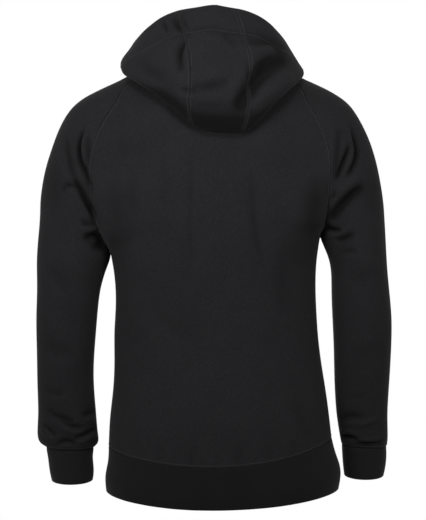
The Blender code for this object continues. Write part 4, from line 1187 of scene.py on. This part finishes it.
def closeStack(faces, first, count, levels):
    # a face at each end of a stack of rings of points, and the sides between the rings
    last = first + (levels - 1) * count
    faces.append(tuple(range(first, first + count))[::-1])
    faces.append(tuple(range(last, last + count)))
    for ring in range(first, last, count):
        for k in range(count):
            a, b = ring + k, ring + (k + 1) % count
            faces.append((a, b, b + count, a + count))


def insetPath(lines, inset):
    # a path on the cloth: for each line of skin points, the place this far along it, and the way out there
    where, ways = [], []
    for line in lines:
        run = runAlong(points[line])
        where.append([np.interp(inset, run, points[line, k]) for k in range(3)])
        ways.append([np.interp(inset, run, normals[line, k]) for k in range(3)])
    return np.array(where), unit(ways)


def sewRun(spots, ways, verts, faces):
    run = runAlong(spots)
    read = lambda values, at: np.array([np.interp(at, run, values[:, k]) for k in range(3)])
    start, sides = stitch["gap"], stitch["sides"]
    while start + stitch["length"] < run[-1]:
        closeStack(faces, len(verts), sides, len(stitch["rings"]))
        for share, rise, size in stitch["rings"]:
            at = start + share * stitch["length"]
            spot, up = read(spots, at), unit(read(ways, at))
            ahead = unit(read(spots, at + stitch["lookAhead"]) - read(spots, at - stitch["lookAhead"]))
            across = np.cross(ahead, up)
            for k in range(sides):
                turn = 2 * math.pi * k / sides
                reach = (across * math.cos(turn) + up * math.sin(turn)) * stitch["radius"] * size
                verts.append(spot + up * rise * stitch["radius"] + reach)
        start += stitch["length"] + stitch["gap"]


# For each kind, lines of skin points that start at the seam or edge and run away from it.
raised = slice(cloth["lowerRows"], cloth["lowerRows"] + len(raglanStations))  # rows beside the raglan seam
seamLines = {
    "raglan": [index["back"][raised], index["back"][raised, ::-1]]
    + [index["frontLeft"][raised, ::-1], index["frontRight"][raised]],
    "hood": [index["hood"][:, panel::step] for panel in panelEdges for step in (-1, 1)],
    "hem": [index[name].T for name in ("frontLeft", "back", "frontRight")]
    + [index[name].T[:, ::-1] for name in ("sleeveLeft", "sleeveRight")],
    "zip": [index["frontLeft"], index["frontRight"][:, ::-1], index["band"], index["band"][:, ::-1]],
}
for kind, lines in seamLines.items():
    runs = [insetPath(line, stitch["inset"][kind]) for line in lines]
    if kind == "hood":
        runs.append(insetPath(index["hood"].T[:, ::-1], hood["faceHem"]))
    verts, faces = [], []
    for spots, ways in runs:
        sewRun(spots, ways, verts, faces)
    made = addObject(kind + "Stitches", verts, faces, [thread])
    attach(made, "garment")
    print("  %-15s %5d faces" % (made.name, len(faces)))
print("seams stitched")


# The zip: woven tapes, a row of interlocked teeth, the box, the slider and its pull.
zipShape = {
    "top": -0.0575,
    "bottom": -0.6720,
    "chainFront": -0.0014,
    "chainBack": -0.0042,
    "pitch": 0.0028,  # from one tooth to the next on the same side
    "boxLength": 0.0085,
    "ramp": (-0.606, -0.553),  # it sinks behind the band, which is thicker
}
toothShape = {
    "root": 0.0028,  # from the centre line
    "reach": 0.0042,
    "thick": 0.40,  # of the pitch
    "rootTimes": 1.1,  # its thickness at the root
    "waist": (0.55, 0.8),  # share of its reach where it is thinnest, and its thickness there
    "headRound": 0.0005,
    "headTip": 0.0002,  # half the flat at its tip
    "halfDepth": 0.0014,
    "rings": ((-1.0, 0.7), (-0.6, 1.0), (0.6, 1.0), (1.0, 0.7)),  # place in its depth, and size there
    "aboveBox": 0.0014,
    "underSlider": 0.0046,
}
sliderShape = {
    "down": 0.0070,  # from the zip's top
    "length": 0.0120,
    # half its outline from the tail up: x, and height in half lengths
    "outline": (
        (0.0039, -1.0), (0.0041, -0.35), (0.0050, 0.35),
        (0.0050, 0.8), (0.0031, 1.0), (0.0012, 0.93),
    ),
    "plate": 0.0012,
    "post": (0.001, 0.003, 0.0008),  # half its width, and its two ends below the slider's top
    "overlap": 0.0001,  # of the post and the plates
    "crownWidth": 0.0018,
    "crownReach": 0.0034,
    "crownRise": 0.0034,
    "crownBar": 0.0010,
    "crownSquare": 0.55,  # 1 is a round arch, and less is a squarer one
    "crownSunk": 0.0002,  # its feet in the plate
    "pullClear": 0.0004,  # from the plate to the pull
    "gap": 0.0003,
    "rounding": 0.0003,
}
pullShape = {
    "width": 0.0070,
    "neck": 0.0058,
    "length": 0.0260,
    "thick": 0.0015,
    "eye": 0.0034,
    "bar": 0.0014,
    "drop": 0.0046,  # from the hinge's axis to the eye's lower end
    "rounding": 0.00028,
}


def zipFrame(z):
    # a point of the front centre line, the way out of the cloth there, and the way up along it
    span = 0.004
    low, high = frontLine(z - span)["y"], frontLine(z + span)["y"]
    up = unit([0.0, high - low, 2 * span])
    out = unit([0.0, -up[2], up[1]])
    sunk = np.interp(z, zipShape["ramp"], (cloth["ribThickness"] - cloth["fleeceThickness"], 0.0))
    return np.array([0.0, frontLine(z)["y"], z]) - out * sunk, out, up


metalEdges = {"sharpAngle": 40, "roundedAngle": 35, "segments": 2}  # angles in degrees


def addSolid(name, verts, faces, body, node, rounding=0.0):
    made = addObject(name, verts, faces, [metal])
    made.data.set_sharp_from_angle(angle=math.radians(metalEdges["sharpAngle"]))
    if rounding:
        bevel = made.modifiers.new("roundedEdges", "BEVEL")
        bevel.width, bevel.segments, bevel.limit_method = rounding, metalEdges["segments"], "ANGLE"
        bevel.angle_limit = math.radians(metalEdges["roundedAngle"])
    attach(made, body)
    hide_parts(node)
    return made


def stackOutline(verts, faces, outline, place, levels):
    # a closed solid of one outline, given as x and height, at each depth out of the cloth and height's scale
    centre, out, up = place
    closeStack(faces, len(verts), len(outline), len(levels))
    for depth, size in levels:
        verts.extend(centre + out * depth + up * h * size + np.array([x, 0, 0]) for x, h in outline)


def buildTeeth():
    verts, faces, t = [], [], toothShape
    z, side = zipShape["bottom"] + zipShape["boxLength"] + t["aboveBox"], left
    middle, thick = (zipShape["chainFront"] + zipShape["chainBack"]) / 2, zipShape["pitch"] * t["thick"]
    levels = [(middle + t["halfDepth"] * depth, size) for depth, size in t["rings"]]
    # half a tooth's outline, from its root over its waist to its rounded head
    waist, thin = t["waist"]
    half = [(0.0, thick / 2 * t["rootTimes"]), (t["reach"] * waist, thick / 2 * thin)]
    half += [(t["reach"] - t["headRound"], thick / 2), (t["reach"], t["headTip"])]
    while z < zipShape["top"] - sliderShape["down"] - t["underSlider"]:
        edge = [(side * (t["root"] - inward), h) for inward, h in half]
        outline = [(x, -h) for x, h in edge[:1]] + edge + [(x, -h) for x, h in edge[:0:-1]]
        stackOutline(verts, faces, outline[::-1] if side == left else outline, zipFrame(z), levels)
        z += zipShape["pitch"] / 2
        side = -side
    return addSolid("zipTeeth", verts, faces, "garment", "zip_chain")


def sliderPlace():
    return zipFrame(zipShape["top"] - sliderShape["down"] - sliderShape["length"] / 2)


def plateDepths():
    low = zipShape["chainFront"] + sliderShape["gap"]
    return low, low + sliderShape["plate"]


def pullAxis():
    # how far out of the cloth the pull's bar lies, in the middle of the crown
    return plateDepths()[1] + sliderShape["pullClear"] + pullShape["thick"] / 2


def buildSlider():
    s, place = sliderShape, sliderPlace()
    long = s["length"] / 2
    halfEdge = [(x, h * long) for x, h in s["outline"]]
    outline = [(-x, h) for x, h in halfEdge[:1]] + halfEdge + [(-x, h) for x, h in halfEdge[:0:-1]]
    verts, faces = [], []
    front = plateDepths()
    back = (zipShape["chainBack"] - s["gap"] - s["plate"], zipShape["chainBack"] - s["gap"])
    stackOutline(verts, faces, outline, place, [(depth, 1) for depth in front])
    stackOutline(verts, faces, outline, place, [(depth, 1) for depth in back])
    thin, low, high = s["post"]
    post = [(-thin, long - low), (thin, long - low), (thin, long - high), (-thin, long - high)]
    stackOutline(verts, faces, post, place, [(back[1] - s["overlap"], 1), (front[0] + s["overlap"], 1)])
    # the crown: a bent strap that bridges the plate from end to end
    centre, out, up = place
    reach, rise, bar, wide = s["crownReach"], s["crownRise"], s["crownBar"], s["crownWidth"] / 2
    square, sunk = s["crownSquare"], s["crownSunk"]
    first, count = len(verts), 17
    for k in range(count):
        turn = math.pi * k / (count - 1)
        for grow in (0.0, bar):
            h = -math.copysign(abs(math.cos(turn)) ** square, math.cos(turn)) * (reach - bar + grow)
            d = front[1] - sunk + abs(math.sin(turn)) ** square * (rise - bar + grow + sunk)
            for x in (-wide, wide):
                verts.append(centre + out * d + up * h + np.array([x, 0, 0]))
    for k in range(count - 1):
        a, b = first + 4 * k, first + 4 * k + 4
        faces.extend([(a, a + 1, b + 1, b), (a + 2, b + 2, b + 3, a + 3)])
        faces.extend([(a, b, b + 2, a + 2), (a + 1, a + 3, b + 3, b + 1)])
    last = first + 4 * (count - 1)
    faces.append((first, first + 2, first + 3, first + 1))
    faces.append((last, last + 1, last + 3, last + 2))
    return addSolid("zipSlider", verts, faces, "garment", "zip_slider", rounding=s["rounding"])


def buildPull():
    # a flat tab with an eye at its top, where its bar passes under the crown
    p, place = pullShape, sliderPlace()
    top, eyeLow, eyeTop = p["bar"] / 2, -p["drop"], -p["bar"] / 2
    neck, half, low, wide = p["neck"] / 2, p["width"] / 2, -p["length"], p["eye"] / 2
    halfEdge = [(neck - 0.0008, top), (neck, top - 0.0006), (neck, eyeLow), (half, eyeLow - 0.0030)]
    halfEdge += [(half, low * 0.5), (half, low + 0.0032), (half - 0.0006, low + 0.0012)]
    halfEdge += [(half - 0.0020, low + 0.0002), (0.0, low)]
    edge = [(0.0, top)] + halfEdge + [(-x, h) for x, h in halfEdge[-2::-1]]
    eye = [(0.0, eyeTop), (wide, eyeTop), (wide, eyeLow), (0.0, eyeLow), (-wide, eyeLow), (-wide, eyeTop)]
    ring, eyeRing = np.array(edge + edge[:1]), np.array(eye + eye[:1])
    run, eyeRun = runAlong(ring), runAlong(eyeRing)
    # the same share of the way round both outlines, held together at the eye's corners
    halfWay = [0.0, run[2], run[3] + 0.0002, run[len(halfEdge)]]
    anchors = halfWay + [run[-1] - at for at in halfWay[2::-1]]
    outer, inner = [], []
    for part, steps in enumerate((4, 4, 14, 14, 4, 4)):
        for k in range(steps):
            at = anchors[part] + (anchors[part + 1] - anchors[part]) * k / steps
            eyeAt = eyeRun[part] + (eyeRun[part + 1] - eyeRun[part]) * k / steps
            outer.append([np.interp(at, run, ring[:, i]) for i in range(2)])
            inner.append([np.interp(eyeAt, eyeRun, eyeRing[:, i]) for i in range(2)])
    count = len(outer)
    centre, out, up = place
    axis, thick = pullAxis(), p["thick"] / 2
    verts, faces = [], []
    for line in (outer, inner):
        for depth in (axis - thick, axis + thick):
            verts.extend(centre + out * depth + up * h + np.array([x, 0, 0]) for x, h in line)
    edgeBack, edgeFront, eyeBack, eyeFront = range(0, 4 * count, count)
    for k in range(count):
        n = (k + 1) % count
        faces.append((edgeBack + k, edgeBack + n, edgeFront + n, edgeFront + k))
        faces.append((eyeBack + n, eyeBack + k, eyeFront + k, eyeFront + n))
        faces.append((edgeFront + k, edgeFront + n, eyeFront + n, eyeFront + k))
        faces.append((edgeBack + n, edgeBack + k, eyeBack + k, eyeBack + n))
    return addSolid("zipPull", verts, faces, "pull_tab", "zip_pull", rounding=p["rounding"])


teeth = buildTeeth()
buildSlider()
buildPull()
for node, material in (("zip_tape_left", tape), ("zip_tape_right", tape), ("zip_box", metal)):
    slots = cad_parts[node].data.materials
    slots.clear()
    slots.append(material)
print("zip made, %d tooth faces" % len(teeth.data.polygons))


# Floor, background, lights and camera.
studio = {
    "floorZ": -1.45,
    "floorRadius": 2.6,
    "floorColour": "#b4b4b4",
    "floorGlow": (0.62, 1.0),  # how pale it looks below the hoodie, and where it meets the background
    "floorFade": (0.3, 0.9),  # from this far out in metres to this share of the radius
    "worldStrength": 0.03,
    "lamps": (
        # name, place, aim, width, height, watts
        ("keySoftbox", (0.6, 1.0, 0.0), (0.18, 0.0, 0.03), 0.5, 0.4, 5.5),
        ("fillSoftbox", (-0.6, 1.0, 0.0), (-0.18, 0.0, 0.03), 0.5, 0.4, 3.6),
        ("topSoftbox", (0.05, 0.95, 0.5), (0.0, 0.0, -0.2), 0.4, 0.2, 3.8),
        ("leftRim", (1.7, 0.3, -0.3), (0.25, 0.0, -0.4), 0.4, 0.9, 1.2),
        ("rightRim", (-1.7, 0.3, -0.3), (-0.25, 0.0, -0.4), 0.4, 0.9, 1.5),
        ("frontSoftbox", (0.2, -1.6, 0.1), (0.0, 0.0, -0.25), 0.8, 0.8, 13.0),
    ),
    "cameraPlace": (0.0, 2.6, -0.20),
    "cameraAim": (0.0, 0.0, -0.3016),
    "lens": 110.4,
}


def aimAt(obj, spot):
    obj.rotation_euler = (Vector(spot) - obj.location).to_track_quat("-Z", "Y").to_euler()


def seenRays(owner):
    # 1 for what is looked at straight, in a gloss or through glass, and 0 for light that falls on the cloth
    rays = addNode(owner, "LightPath").outputs
    seen = addNode(owner, "Math", (rays["Is Camera Ray"], rays["Is Glossy Ray"]), operation="MAXIMUM")
    return addNode(owner, "Math", (seen, rays["Is Transmission Ray"]), operation="MAXIMUM")


def addFloor():
    # White paper, painted matt, that fades into the background. Its paleness lights nothing.
    count, radius = 96, studio["floorRadius"]
    turns = [2 * math.pi * k / count for k in range(count)]
    ring = [(radius * math.cos(turn), radius * math.sin(turn), 0.0) for turn in turns]
    material, _, solid = newMaterial("studioPaperPainted")
    away = addNode(material, "VectorMath", (solid,), operation="LENGTH").outputs["Value"]
    (near, far), (dim, bright) = studio["floorFade"], studio["floorGlow"]
    glow = addNode(material, "MapRange", (away, near, far * radius, dim, bright))
    strength = addNode(material, "Math", (seenRays(material), glow), operation="MULTIPLY")
    shader = {"Roughness": 0.9, "Emission Color": "#ffffff", "Emission Strength": strength}
    finishMaterial(material, {"base": studio["floorColour"], "shader": shader})
    floor = addObject("floor", ring, [tuple(range(count))], [material])
    floor.location.z = studio["floorZ"]
    floor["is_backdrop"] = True


def addWorld():
    world = bpy.data.worlds.new("studio")
    bpy.context.scene.world = world
    world.use_nodes = True
    world.node_tree.nodes.clear()
    seen = seenRays(world)
    falling = addNode(world, "Background", {"Color": "#ffffff", "Strength": studio["worldStrength"]})
    white = addNode(world, "Background", {"Color": "#ffffff", "Strength": 1.0})
    mixed = addNode(world, "MixShader", (seen, falling, white))
    addNode(world, "OutputWorld", {"Surface": mixed})


def addLamps():
    for name, place, aim, width, height, watts in studio["lamps"]:
        light = bpy.data.lights.new(name, "AREA")
        light.shape, light.size, light.size_y, light.energy = "RECTANGLE", width, height, watts
        lamp = bpy.data.objects.new(name, light)
        bpy.context.scene.collection.objects.link(lamp)
        lamp.location = place
        aimAt(lamp, aim)


def addCamera():
    lens = bpy.data.cameras.new("camera")
    lens.sensor_fit, lens.sensor_height, lens.lens = "VERTICAL", 36.0, studio["lens"]
    camera = bpy.data.objects.new("camera", lens)
    bpy.context.scene.collection.objects.link(camera)
    camera.location = studio["cameraPlace"]
    aimAt(camera, studio["cameraAim"])
    bpy.context.scene.camera = camera


addFloor()
addWorld()
addLamps()
addCamera()
bpy.context.scene.view_settings.view_transform = "Standard"
print("studio set")

plain = lambda box: [[round(float(v), 5) for v in corner] for corner in box]
{"cad": plain(cadBounds), "visual": plain(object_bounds())}
